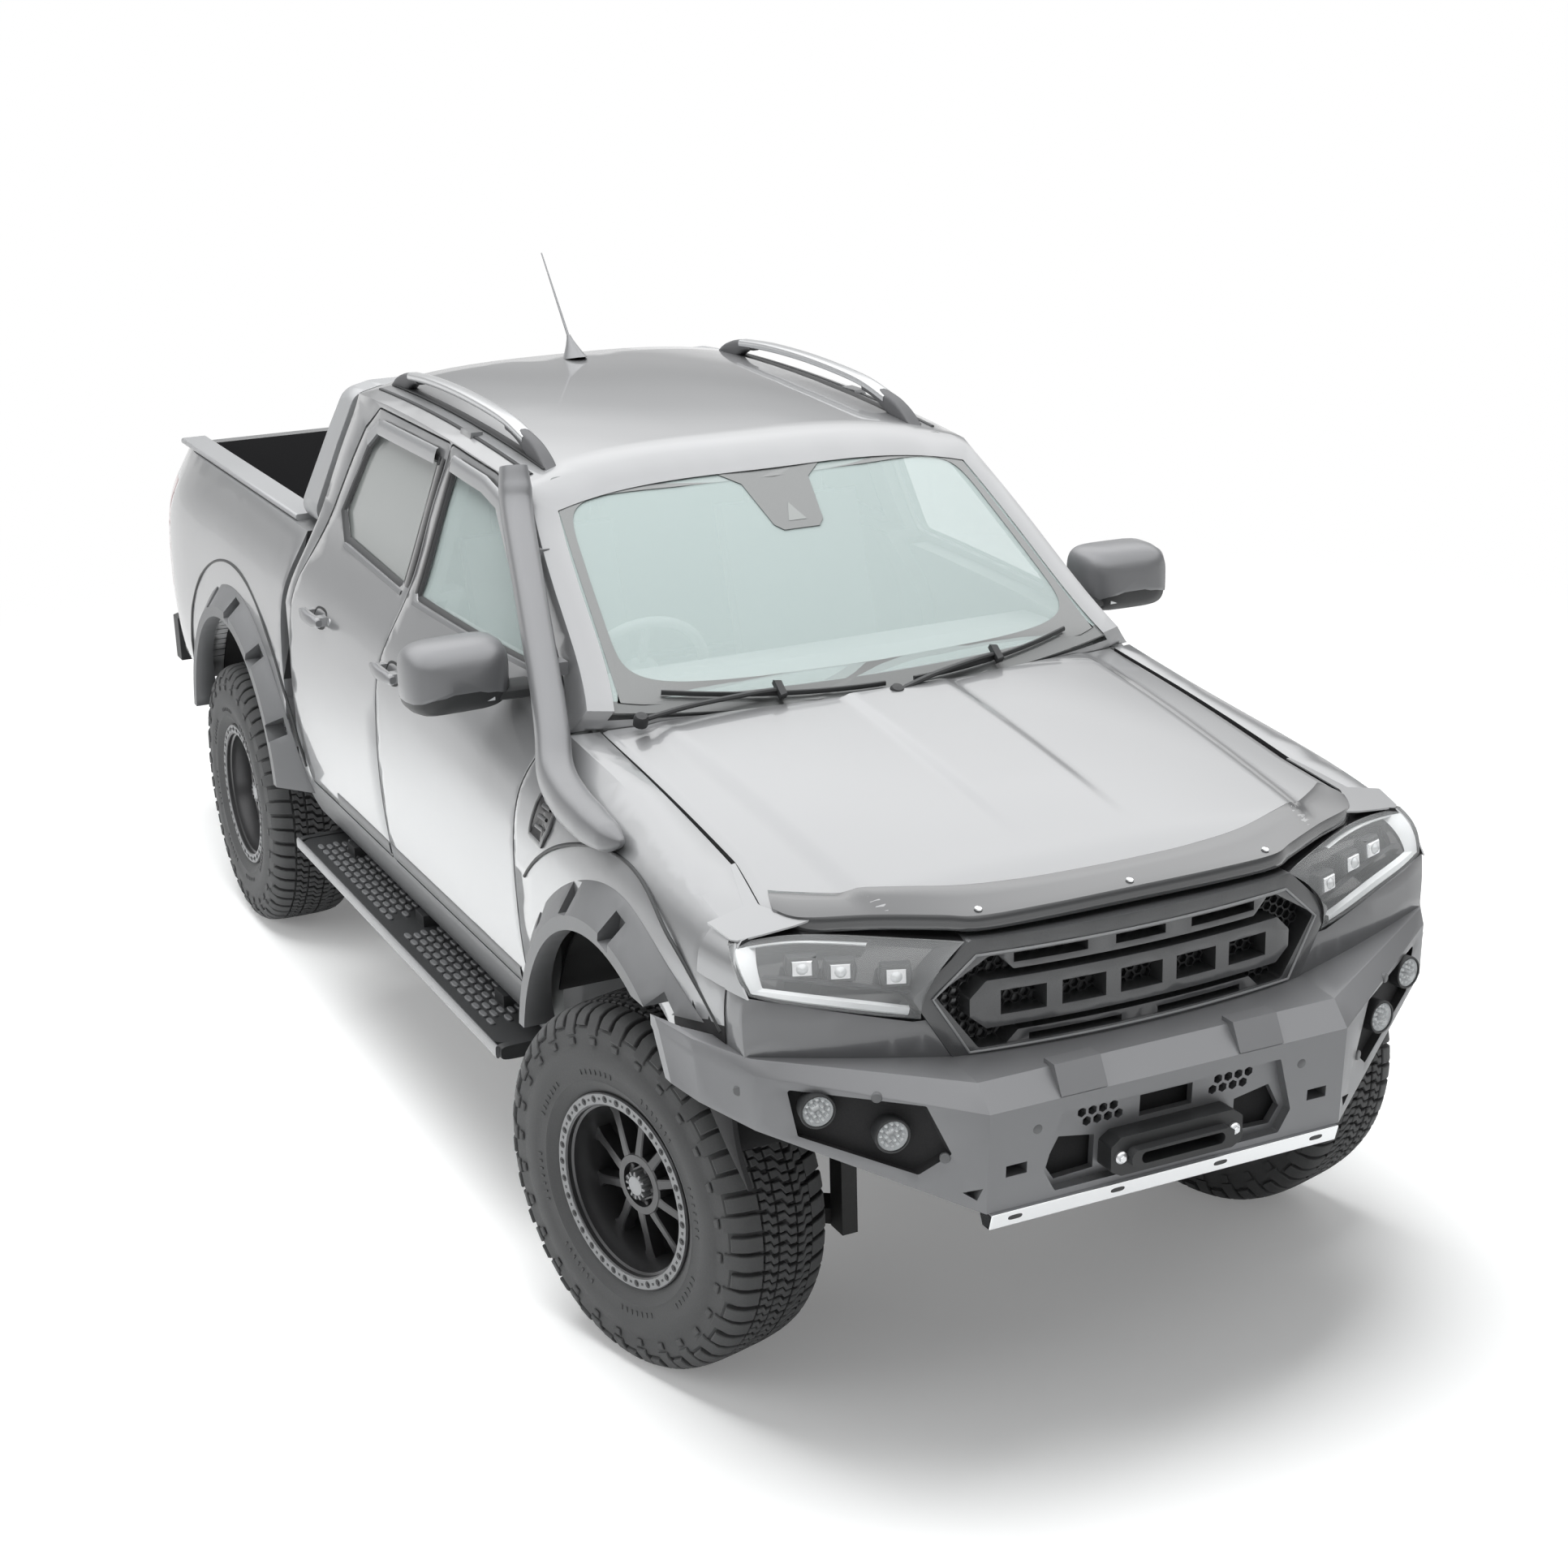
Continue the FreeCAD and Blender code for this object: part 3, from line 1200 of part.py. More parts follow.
@functools.lru_cache(maxsize=None)
def tyre():
    """Faceted tyre: shoulder lugs on both sides of an unbroken middle rib."""
    half = tyre_width / 2.0
    pitch = 360.0 / lug_count
    lug = lug_share * pitch
    bore = bead_radius / math.cos(math.radians(lug / 2.0))
    wall = [(bore, bead_half), (ring_radius + 5.0, bead_half + 6.0), (312.0, half)]
    high = wall + [(418.0, half - 8.0), (tyre_radius, half - 42.0), (tyre_radius, rib_half)]
    floor = tyre_radius - lug_depth
    low = wall + [(418.0 - lug_depth, half - 11.0), (floor, half - 44.0), (floor, rib_half),
                  (tyre_radius, rib_half)]
    faces = []
    for i in range(lug_count):
        start = i * pitch
        for section, a0, a1 in ((high, start, start + lug), (low, start + lug, start + pitch)):
            loop = section + [(r, -y) for r, y in reversed(section)]
            first = at_turn(loop, a0)
            second = at_turn(loop, a1)
            for j in range(len(loop)):
                faces.append(flat_face([first[j - 1], first[j], second[j], second[j - 1]]))
        for turn in (start, start + lug):
            step = high[2:] + low[-2:2:-1]
            for side in (1.0, -1.0):
                faces.append(flat_face(at_turn([(r, side * y) for r, y in step], turn)))
    shell = Part.makeShell(faces)
    shell.sewShape()
    solid = Part.Solid(shell)
    if solid.Volume < 0.0:
        solid.reverse()
    return solid


@functools.lru_cache(maxsize=None)
def rim():
    """Deep-dish rim with ten spokes and a clamp ring at its lip."""
    r = bead_radius - seat_gap
    barrel = revolved([(r, -bead_half), (r, bead_half), (ring_radius, bead_half + 6.5), (ring_radius, 124.0),
                       (196.0, 124.0), (196.0, 108.0), (203.0, 90.0), (196.0, 0.0), (196.0, -100.0),
                       (ring_radius - 6.0, -118.0), (ring_radius, -118.5), (ring_radius, -bead_half - 6.5)])
    disc = revolved([(40.0, 34.0), (40.0, 62.0), (90.0, 66.0), (199.0, 40.0), (199.0, 8.0), (90.0, 38.0)])
    for i in range(10):
        outline = [Vec(176.0, -20.0, -38.0), Vec(176.0, -20.0, 38.0), Vec(98.0, -20.0, 14.0),
                   Vec(98.0, -20.0, -14.0)]
        window = Part.Face(rounded_wire(outline, 9.0)).extrude(Vec(0, 120.0, 0))
        window.rotate(Vec(0, 0, 0), Vec(0, 1, 0), 36.0 * i)
        disc = disc.cut(window)
    cap = revolved([(40.0 - 0.3, 44.0), (46.0, 61.0), (46.0, 76.0), (34.0, 86.0), (0.0, 86.0), (0.0, 44.0)])
    return fused([barrel, disc, cap])


# Sides

def side_steps():
    """Running boards on brackets from the sills."""
    board = box(-2410.0, -655.0, 790.0, 962.0, 496.0, 528.0)
    corners = [e for e in board.Edges if e.BoundBox.ZLength > 20.0 and e.BoundBox.YMax > 950.0]
    board = board.makeFillet(50.0, corners)
    brackets = []
    for x in (-900.0, -1550.0, -2200.0):
        brackets.append(box(x - 35.0, x + 35.0, 740.0, 860.0, 510.0, sill_z - seat_gap))
    return both_sides(fused([board] + brackets))


def save(shapes):
    os.makedirs("parts", exist_ok=True)
    for name, shape in shapes.items():
        placed = shape.copy()
        placed.translate(Vec(-middle_x, 0, 0))
        if placed.ShapeType == "Compound" and len(placed.Solids) == 1:
            placed = placed.Solids[0]
        placed.exportStep("parts/" + name + ".step")


def build():
    shapes = {}
    shapes["cab_shell"] = cab_shell()
    shapes["cab_glass"] = cab_glass()
    shapes["dashboard"] = dashboard()
    shapes["steering_wheel"] = steering_wheel()
    shapes["seats"] = seats()
    left = {"door_front": front_door(), "door_rear": rear_door(),
            "door_glass_front": door_glass(front_window_outline()),
            "door_glass_rear": door_glass(rear_window_outline()),
            "mirror": mirror_unit()}
    for name, shape in left.items():
        shapes[name + "_left"] = shape
        shapes[name + "_right"] = mirrored(shape)
    shapes["front_wings"] = front_wings()
    shapes["front_panels"] = front_panels()
    shapes["headlamps"] = headlamps()
    shapes["grille"] = grille()
    shapes["bonnet"] = bonnet()
    shapes["bonnet_guard"] = bonnet_guard()
    shapes["front_bumper"] = front_bumper()
    shapes["bumper_strip"] = bumper_strip()
    shapes["fairlead"] = fairlead()
    shapes["spot_lamps"] = spot_lamps()
    shapes["wipers"] = wipers()
    shapes["snorkel"] = snorkel()
    shapes["wheel_flares"] = wheel_flares()
    shapes["wheel_liners"] = wheel_liners()
    shapes["load_bed"] = load_bed()
    shapes["tail_lamps"] = tail_lamps()
    shapes["tailgate"] = tailgate()
    shapes["bed_caps"] = bed_caps()
    shapes["sports_bar"] = sports_bar()
    shapes["rear_bumper"] = rear_bumper()
    shapes["roof_rails"] = roof_rails()
    shapes["antenna"] = antenna()
    shapes["chassis_frame"] = chassis_frame()
    shapes["engine"] = engine()
    shapes["driveline"] = driveline()
    shapes["rear_axle"] = rear_axle()
    shapes["leaf_springs"] = leaf_springs()
    shapes["front_arms"] = front_arms()
    shapes["side_steps"] = side_steps()
    shapes["knuckle_left"] = knuckle(1.0)
    shapes["knuckle_right"] = knuckle(-1.0)
    for corner in ("fl", "fr", "rl", "rr"):
        shapes["rim_" + corner] = wheel_place(corner, rim())
        shapes["tyre_" + corner] = wheel_place(corner, tyre())
    return shapes


if __name__ == "__main__":
    save(build())
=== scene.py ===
import json
from math import atan2, copysign, cos, exp, hypot, pi, radians, sin

import bmesh
import bpy
from mathutils import Matrix, Vector


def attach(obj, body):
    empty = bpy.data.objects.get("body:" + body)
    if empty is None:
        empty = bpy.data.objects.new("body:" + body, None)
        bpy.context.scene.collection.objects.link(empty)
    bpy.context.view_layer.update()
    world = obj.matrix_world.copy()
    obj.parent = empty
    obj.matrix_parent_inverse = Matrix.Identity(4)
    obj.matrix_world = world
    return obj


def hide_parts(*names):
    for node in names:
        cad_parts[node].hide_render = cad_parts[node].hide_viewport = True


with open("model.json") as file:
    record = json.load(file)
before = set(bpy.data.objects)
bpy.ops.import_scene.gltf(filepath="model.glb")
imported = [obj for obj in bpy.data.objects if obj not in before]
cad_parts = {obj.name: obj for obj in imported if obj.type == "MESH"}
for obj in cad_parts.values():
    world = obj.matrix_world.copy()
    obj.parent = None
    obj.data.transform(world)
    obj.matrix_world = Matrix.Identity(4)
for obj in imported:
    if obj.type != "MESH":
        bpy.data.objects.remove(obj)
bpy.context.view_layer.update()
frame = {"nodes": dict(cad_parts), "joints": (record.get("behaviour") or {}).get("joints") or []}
nodes = frame["nodes"]
joints = {joint["name"]: joint for joint in frame["joints"]}

# Places, metres in the frame: x forward, y left, z up
AXLE_X = joints["steer_left_turn"]["pos_m"][0]
TYRE_R = joints["wheel_rear_left_spin"]["pos_m"][2]
AHEAD = Vector((1, 0, 0))
ACROSS = Vector((0, 1, 0))
UP = Vector((0, 0, 1))
SIDES = (1, -1)
NAMED_SIDES = ((1, "left"), (-1, "right"))
FULL_TURN = 2 * pi


def at(x, y, z):
    """Point from millimetres measured from the front axle."""
    return Vector((AXLE_X + x / 1000, y / 1000, z / 1000))


# Materials

def shader(material, kind):
    return next(node for node in material.node_tree.nodes if node.bl_idname == "ShaderNode" + kind)


def set_inputs(node, inputs):
    """Sets each named socket to a value, or links it where the value is another node's output."""
    for name, value in inputs.items():
        if isinstance(value, bpy.types.NodeSocket):
            node.id_data.links.new(value, node.inputs[name])
        else:
            node.inputs[name].default_value = value


def add_node(tree, kind, inputs=None, **settings):
    node = tree.nodes.new("ShaderNode" + kind)
    for name, value in settings.items():
        setattr(node, name, value)
    set_inputs(node, inputs or {})
    return node


def new_material(name):
    material = bpy.data.materials.new(name)
    material.use_nodes = True
    return material


def finish_material(name, color, rough=0.5, metal=0, coat=0, coat_rough=0.05, spread=0.06, grain=900,
                    bump=0.02, rough_spread=0.08, sheen=0):
    """Principled material with fine colour, roughness and relief variation."""
    material = new_material(name)
    tree = material.node_tree
    place = add_node(tree, "TexCoord").outputs["Object"]
    large = add_node(tree, "TexNoise", {"Vector": place, "Scale": 3, "Detail": 3}).outputs["Fac"]
    fine = add_node(tree, "TexNoise", {"Vector": place, "Scale": grain, "Detail": 2}).outputs["Fac"]
    tone = add_node(tree, "MapRange", {"Value": large, "To Min": 1 - spread, "To Max": 1 + spread})
    tint = add_node(tree, "VectorMath", {0: color, "Scale": tone.outputs["Result"]}, operation="SCALE")
    gloss = add_node(tree, "MapRange", {"Value": fine, "To Min": max(0, rough - rough_spread),
                                        "To Max": min(1, rough + rough_spread)})
    relief = add_node(tree, "Bump", {"Height": fine, "Strength": bump, "Distance": 0.001})
    set_inputs(shader(material, "BsdfPrincipled"), {
        "Metallic": metal, "Coat Weight": coat, "Coat Roughness": coat_rough, "Sheen Weight": sheen,
        "Base Color": tint.outputs["Vector"], "Roughness": gloss.outputs["Result"],
        "Normal": relief.outputs["Normal"]})
    return material


def glass_material(name, color, haze, rough=0.04, band_top=None):
    """Clear pane with a pale haze; below band_top (metres) it is printed with a dark, opaque border."""
    material = new_material(name)
    tree = material.node_tree
    place = add_node(tree, "TexCoord").outputs["Object"]
    film = add_node(tree, "TexNoise", {"Vector": place, "Scale": 14}).outputs["Fac"]
    gloss = add_node(tree, "MapRange", {"Value": film, "To Min": rough * 0.6, "To Max": rough * 1.5})
    base = shader(material, "BsdfPrincipled")
    set_inputs(base, {"Base Color": (*color, 1), "IOR": 1.45, "Alpha": haze,
                      "Roughness": gloss.outputs["Result"]})
    if band_top is not None:
        spot = add_node(tree, "NewGeometry").outputs["Position"]
        height = add_node(tree, "SeparateXYZ", {"Vector": spot}).outputs["Z"]
        edge = {"Value": height, "From Min": band_top - 0.001, "From Max": band_top + 0.001}
        alpha = add_node(tree, "MapRange", {**edge, "To Min": 1, "To Max": haze})
        share = add_node(tree, "MapRange", {**edge, "To Min": 0, "To Max": 1})
        tone = add_node(tree, "Mix", data_type="RGBA")
        band, clear = [socket for socket in tone.inputs if socket.type == "RGBA"]
        set_inputs(tone, {0: share.outputs["Result"]})
        band.default_value = (*BAND_COLOUR, 1)
        clear.default_value = (*color, 1)
        mixed = next(socket for socket in tone.outputs if socket.type == "RGBA")
        set_inputs(base, {"Alpha": alpha.outputs["Result"], "Base Color": mixed})
    return material


BAND_COLOUR = (0.13, 0.135, 0.135)
GLASS_COLOUR = (0.46, 0.54, 0.53)
CLEAR_COLOUR = (0.75, 0.77, 0.78)

# The bare numbers are roughness, metal, coat, coat roughness, colour spread, grain, bump, roughness spread
PAINT = finish_material("grey_metallic_paint", (0.3, 0.305, 0.312), 0.36, 0.72, 0.9, 0.04, 0.02, 1800, 0.01,
                        0.05)
# The grey body paint made darker: painted shade on the filler panels tucked under the headlamps
SHADED_PAINT = finish_material("grey_paint_painted_shade", (0.16, 0.163, 0.168), 0.38, 0.6, 0.8, 0.05, 0.02, 1800, 0.01,
                             0.05)
BUMPER = finish_material("bumper_powder_coat", (0.2, 0.203, 0.21), 0.45, 0.45, 0.15, 0.3, 0.03, 900, 0.05)
FLARE = finish_material("flare_satin_plastic", (0.125, 0.128, 0.132), 0.5, 0.15, 0.15, 0.35, 0.06, 700, 0.05)
SNORKEL = finish_material("snorkel_satin", (0.165, 0.168, 0.174), 0.38, 0.35, 0.35, 0.25, 0.06, 700, 0.04)
BLACK = finish_material("satin_black_plastic", (0.022, 0.023, 0.024), bump=0.08)
MATT = finish_material("matt_liner_black", (0.012, 0.012, 0.013), 0.85, grain=300, bump=0.15)
GLOSS = finish_material("gloss_black", (0.018, 0.018, 0.019), 0.16, 0, 0.6, bump=0.01, rough_spread=0.03)
GRILLE_GREY = finish_material("grille_dark_grey", (0.085, 0.087, 0.09), 0.3, 0.35, 0.5, 0.15)
RUBBER = finish_material("tyre_rubber", (0.056, 0.057, 0.058), 0.72, spread=0.22, grain=260, bump=0.25,
                         rough_spread=0.12)
RIM_BLACK = finish_material("wheel_satin_black", (0.05, 0.05, 0.052), 0.36, 0.5, 0.35, 0.2, grain=1200,
                            bump=0.03)
RING_GREY = finish_material("wheel_ring_grey", (0.21, 0.213, 0.217), 0.45, 0.5, grain=1200, bump=0.04)
CHROME = finish_material("bright_chrome", (0.78, 0.79, 0.8), 0.12, 1, spread=0.02, grain=500, bump=0.01,
                         rough_spread=0.05)
SILVER = finish_material("silver_satin_metal", (0.66, 0.67, 0.68), 0.3, 0.9, spread=0.03)
SILVER_PAINT = finish_material("silver_satin_paint", (0.3, 0.306, 0.313), 0.45, 0.4, 0.2, bump=0.03)
STEEL = finish_material("dark_steel", (0.06, 0.06, 0.062), 0.55, 0.6, spread=0.25, grain=160, bump=0.2)
FRAME = finish_material("chassis_black", (0.03, 0.03, 0.03), 0.6, 0.2, spread=0.3, grain=160, bump=0.2)
CLOTH = finish_material("seat_cloth", (0.3, 0.3, 0.305), 0.9, spread=0.1, grain=1500, bump=0.4, sheen=0.3)
TRIM = finish_material("cabin_trim", (0.33, 0.34, 0.34), 0.75, grain=800, bump=0.15)
ACRYLIC = finish_material("dark_tinted_guard", (0.075, 0.077, 0.08), 0.14, 0.2, 0.9, bump=0.01,
                          rough_spread=0.03)
FRIT = finish_material("screen_black_band", BAND_COLOUR, 0.25, 0, 0.5, bump=0.01)
FRIT_DARK = finish_material("screen_sensor_cover", (0.12, 0.125, 0.125), 0.3, 0, 0.5, bump=0.01)
PALE_GLASS = finish_material("shaded_rear_glass", (0.17, 0.182, 0.178), 0.18, 0, 0.8, spread=0.04, bump=0.005,
                             rough_spread=0.04)
RED = finish_material("tail_lamp_red", (0.16, 0.012, 0.012), 0.15, 0, 0.9, grain=600)
LIGHT_BAR = finish_material("lamp_light_bar", (0.8, 0.82, 0.83), 0.25, 0, 0.6, spread=0.02, grain=500)
LENS_SOLID = finish_material("solid_lens", CLEAR_COLOUR, 0.12, 0.2, 0.9, spread=0.03, grain=500,
                             rough_spread=0.03)
MIRROR = finish_material("mirror_glass", CLEAR_COLOUR, 0.03, 1, spread=0.01, grain=500, bump=0,
                         rough_spread=0.01)
RAIL_FOOT = finish_material("rail_foot_plastic", (0.055, 0.056, 0.059))
VISOR = finish_material("weather_shield", (0.19, 0.195, 0.2), 0.16, 0.1, 0.7, bump=0.01, rough_spread=0.04)
GLASS = glass_material("green_tinted_glass", GLASS_COLOUR, 0.38)
SCREEN = glass_material("banded_screen_glass", GLASS_COLOUR, 0.38, band_top=1.4235)
LENS = glass_material("clear_lens", CLEAR_COLOUR, 0.22, 0.02)

CAD_FINISHES = (
    (PAINT, "cab_shell door_front_left door_front_right door_rear_left door_rear_right"),
    # front_panels take the darker copy of the paint, a painted shade under the headlamps
    (PAINT, "front_wings bonnet load_bed tailgate"), (SHADED_PAINT, "front_panels"), (SCREEN, "cab_glass"),
    (GLASS, "door_glass_front_left door_glass_front_right"),
    (PALE_GLASS, "door_glass_rear_left door_glass_rear_right"), (TRIM, "dashboard steering_wheel"),
    (CLOTH, "seats"), (SNORKEL, "mirror_left mirror_right snorkel antenna"), (GLOSS, "headlamps"),
    (GRILLE_GREY, "grille"), (ACRYLIC, "bonnet_guard"), (BUMPER, "front_bumper"),
    (CHROME, "bumper_strip spot_lamps"), (BLACK, "fairlead wipers rear_bumper side_steps"),
    (FLARE, "wheel_flares"), (MATT, "wheel_liners"), (RED, "tail_lamps"),
    (SILVER_PAINT, "bed_caps sports_bar"),
    (SILVER, "roof_rails"), (FRAME, "chassis_frame rear_axle leaf_springs front_arms"),
    (STEEL, "engine driveline knuckle_left knuckle_right"), (RIM_BLACK, "rim_fl rim_fr rim_rl rim_rr"),
    (RUBBER, "tyre_fl tyre_fr tyre_rl tyre_rr"))


def soften_edges(thing, width, angle):
    bevel = thing.modifiers.new("soft_edges", "BEVEL")
    bevel.width = width
    bevel.segments = 2
    bevel.limit_method = "ANGLE"
    bevel.angle_limit = radians(angle)
    bevel.harden_normals = True


def dress_cad_nodes():
    finishes = {name: material for material, names in CAD_FINISHES for name in names.split()}
    for name, node in nodes.items():
        node.data.materials.clear()
        node.data.materials.append(finishes[name])
        if "glass" not in name:
            node.modifiers.new("weld", "WELD").merge_threshold = 0.00005
            soften_edges(node, 0.0025, 32)


dress_cad_nodes()


# Mesh helpers

def put_in_scene(name, data):
    thing = bpy.data.objects.new(name, data)
    bpy.context.scene.collection.objects.link(thing)
    return thing


class Shape:
    """Vertices and faces gathered for one object, with a material for each face."""

    def __init__(self):
        self.points = []
        self.faces = []
        self.marks = []
        self.materials = []

    def add(self, points, faces, material, matrix=None):
        if material not in self.materials:
            self.materials.append(material)
        start = len(self.points)
        self.points += [matrix @ Vector(point) if matrix else Vector(point) for point in points]
        self.faces += [[start + i for i in face] for face in faces]
        self.marks += [self.materials.index(material)] * len(faces)

    def build(self, name, smooth):
        mesh = bpy.data.meshes.new(name)
        mesh.from_pydata([tuple(point) for point in self.points], [], self.faces)
        for material in self.materials:
            mesh.materials.append(material)
        mesh.polygons.foreach_set("material_index", self.marks)
        mesh.update()
        work = bmesh.new()
        work.from_mesh(mesh)
        bmesh.ops.recalc_face_normals(work, faces=work.faces)
        for edge in work.edges:
            if len(edge.link_faces) == 2 and edge.calc_face_angle(0) > radians(smooth):
                edge.smooth = False
        for face in work.faces:
            face.smooth = True
        work.to_mesh(mesh)
        work.free()
        return put_in_scene(name, mesh)


def quads(rows, wide, wrap):
    """Faces between neighbouring rows of points; wrap joins the two ends of each row."""
    return [(i * wide + j, i * wide + (j + 1) % wide, (i + 1) * wide + (j + 1) % wide, (i + 1) * wide + j)
            for i in range(rows - 1) for j in range(wide if wrap else wide - 1)]


def turns(count):
    """Equal steps of one full turn, in radians."""
    return [FULL_TURN * i / count for i in range(count)]


def lathe(shape, profile, material, count, matrix=None, closed=False):
    """Turns a (radius, y) profile about the Y axis."""
    points = [(radius * sin(turn), y, radius * cos(turn)) for turn in turns(count) for radius, y in profile]
    faces = [[k % len(points) for k in face] for face in quads(count + 1, len(profile), closed)]
    shape.add(points, faces, material, matrix)


def slab(shape, outline, low, high, material, matrix=None, bevel=0):
    """Prism of an (x, z) outline between two y values, its top edge cut back by bevel."""
    count = len(outline)
    middle_x = sum(x for x, z in outline) / count
    middle_z = sum(z for x, z in outline) / count
    points = [(x, low, z) for x, z in outline]
    levels = [(high - copysign(bevel, high - low), 0), (high, bevel)] if bevel else [(high, 0)]
    for y, inset in levels:
        for x, z in outline:
            share = 1 - inset / (hypot(x - middle_x, z - middle_z) or 1)
            points.append((middle_x + (x - middle_x) * share, y, middle_z + (z - middle_z) * share))
    caps = [tuple(range(count)), tuple(range(len(points) - count, len(points)))]
    shape.add(points, caps + quads(len(levels) + 1, count, True), material, matrix)


def ngon(radius, count):
    return [(radius * sin(turn), radius * cos(turn)) for turn in turns(count)]


def box_outline(half_x, half_z):
    return [(-half_x, -half_z), (half_x, -half_z), (half_x, half_z), (-half_x, half_z)]


def tapered(half_low, low, half_high, high):
    """Outline with level ends, half_low wide at low and half_high wide at high."""
    return [(-half_low, low), (half_low, low), (half_high, high), (-half_high, high)]


def pointed(half, half_z, tip):
    """Outline with level ends and a tip at half height on either side."""
    return [(-half, -half_z), (half, -half_z), (tip, 0), (half, half_z), (-half, half_z), (-tip, 0)]


def sheet(shape, rows, material, drop=None):
    """Grid of points as a surface; with a drop it becomes a closed skin."""
    wide = len(rows[0])
    points = [point for row in rows for point in row]
    faces = quads(len(rows), wide, False)
    if drop is not None:
        count = len(points)
        points = points + [Vector(point) + drop for point in points]
        faces += [tuple(i + count for i in face) for face in faces]
        rim = list(range(wide)) + [i * wide + wide - 1 for i in range(1, len(rows))]
        rim += [(len(rows) - 1) * wide + j for j in range(wide - 2, -1, -1)]
        rim += [i * wide for i in range(len(rows) - 2, 0, -1)]
        faces += [(a, b, b + count, a + count) for a, b in zip(rim, rim[1:] + rim[:1])]
    shape.add(points, faces, material)


def skin_loops(shape, loops, material, caps=True, matrix=None):
    """Tube through closed loops of equal length."""
    wide = len(loops[0])
    points = [point for loop in loops for point in loop]
    faces = quads(len(loops), wide, True)
    if caps:
        faces += [tuple(range(wide)), tuple(range(len(points) - wide, len(points)))]
    shape.add(points, faces, material, matrix)


def bent(value, power):
    return copysign(abs(value) ** (2 / power), value)


def unit_ring(count, power):
    """Ring of points between a circle (power 2) and a square (high power)."""
    return [(bent(cos(turn), power), bent(sin(turn), power)) for turn in turns(count)]


def soft_loop(centre, across, upward, half_a, half_b, count, power):
    """Rounded-rectangle loop about a centre."""
    return [centre + across * (half_a * a) + upward * (half_b * b) for a, b in unit_ring(count, power)]


def curve_points(points, count):
    """Smooth path through given points."""
    points = [Vector(point) for point in points]
    path = []
    last = len(points) - 1
    for i in range(count):
        place = last * i / (count - 1)
        k = min(int(place), last - 1)
        t = place - k
        p0, p1, p2, p3 = points[max(k - 1, 0)], points[k], points[k + 1], points[min(k + 2, last)]
        path.append(0.5 * ((2 * p1) + (p2 - p0) * t + (2 * p0 - 5 * p1 + 4 * p2 - p3) * t ** 2
                           + (3 * p1 - p0 - 3 * p2 + p3) * t ** 3))
    return path


def swept(shape, path, halves, material, upright=UP, count=18, power=2.6):
    """Rounded bar along a path; halves are (across, upward) in metres, one pair or one at each point."""
    if isinstance(halves, tuple):
        halves = [halves] * len(path)
    loops = []
    for i, point in enumerate(path):
        ahead = (path[min(i + 1, len(path) - 1)] - path[max(i - 1, 0)]).normalized()
        across = ahead.cross(upright).normalized()
        loops.append(soft_loop(point, across, across.cross(ahead).normalized(), *halves[i], count, power))
    skin_loops(shape, loops, material)


def wire(shape, path, radius, material):
    swept(shape, path, (radius, radius), material, count=8, power=2)


def rib(shape, points, across, upward, half_a, half_b, material, power=3):
    """Bar of one rounded section through the given points."""
    skin_loops(shape, [soft_loop(p, across, upward, half_a, half_b, 16, power) for p in points], material)


def block(shape, low, high, material):
    """Box between two corners given in frame metres."""
    points = [(x, y, z) for x in (low[0], high[0]) for y in (low[1], high[1]) for z in (low[2], high[2])]
    faces = [(0, 1, 3, 2), (4, 5, 7, 6), (0, 1, 5, 4), (2, 3, 7, 6), (0, 2, 6, 4), (1, 3, 7, 5)]
    shape.add(points, faces, material)


def facing(place, outward, upward=UP):
    """Matrix whose Y axis looks outward from a place."""
    out = Vector(outward).normalized()
    side = out.cross(upward).normalized()
    turn = Matrix((side, out, side.cross(out).normalized())).transposed()
    return Matrix.Translation(place) @ turn.to_4x4()


def spun(turn, radius):
    """Matrix for a detail at a radius from the Y axis, after a turn about it."""
    return Matrix.Rotation(turn, 4, "Y") @ Matrix.Translation((0, 0, radius))


def finish_piece(shape, name, covers=(), body="root", smooth=40, bevel=0, place=None):
    """Builds a shape as a piece that rides on a body; place moves its points after the build."""
    piece = shape.build(name, smooth)
    for vertex in piece.data.vertices if place else ():
        vertex.co = place @ vertex.co
    if bevel:
        soften_edges(piece, bevel, 34)
    for node in covers:
        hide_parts(node)
    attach(piece, body)
    return piece


# Body surfaces, millimetres from the front axle

SIDE = ((480, 800), (600, 862), (700, 893), (820, 909), (960, 917), (1100, 915), (1230, 902), (1330, 868),
        (1420, 805), (1530, 762), (1690, 703), (1980, 596))
REAR_AXLE = -3220
FLARE_CENTRE = (30, 478)
FLARE_R = 748


def between(table, value):
    """Value read off a table of (place, value) pairs in rising order."""
    if value <= table[0][0]:
        return table[0][1]
    for (a, fa), (b, fb) in zip(table, table[1:]):
        if value <= b:
            return fa + (fb - fa) * (value - a) / (b - a)
    return table[-1][1]


def ease(t):
    t = max(0, min(1, t))
    return t * t * (3 - 2 * t)


def side_y(x, z):
    """Half-width of the body side, tapered at the nose, tail and pillars."""
    nose = 60 * (max(0, x - 100) / 550) ** 2
    tail = 45 * (max(0, -3900 - x) / 350) ** 2
    upper = 73 * (max(0, x + 1700) / 1171) ** 2
    return between(SIDE, z) - nose - tail - upper * ease((z - 1150) / 270)


def on_side(x, z, lift, side):
    return at(x, (side_y(x, z) + lift) * side, z)


def top_z(x, y):
    """Height of the bonnet and wing tops."""
    back = x + 300
    share = abs(y) / 711
    fall = 38 * (share ** 3 if share < 1 else 3 * share - 2)
    return 1385 - 0.0956 * back - 5.4e-5 * back * abs(back) - fall


def roof_z(x, y):
    return 1927 - 4.5e-5 * (x + 2150) ** 2 - 60 * (abs(y) / 640) ** 3


def screen_x(y, z):
    return -406 - 1.596 * (z - 1452) - 2.39e-4 * y * y


def nose_front(y):
    return 781 - 2e-4 * y * y


# Bonnet, its guard and the lamps

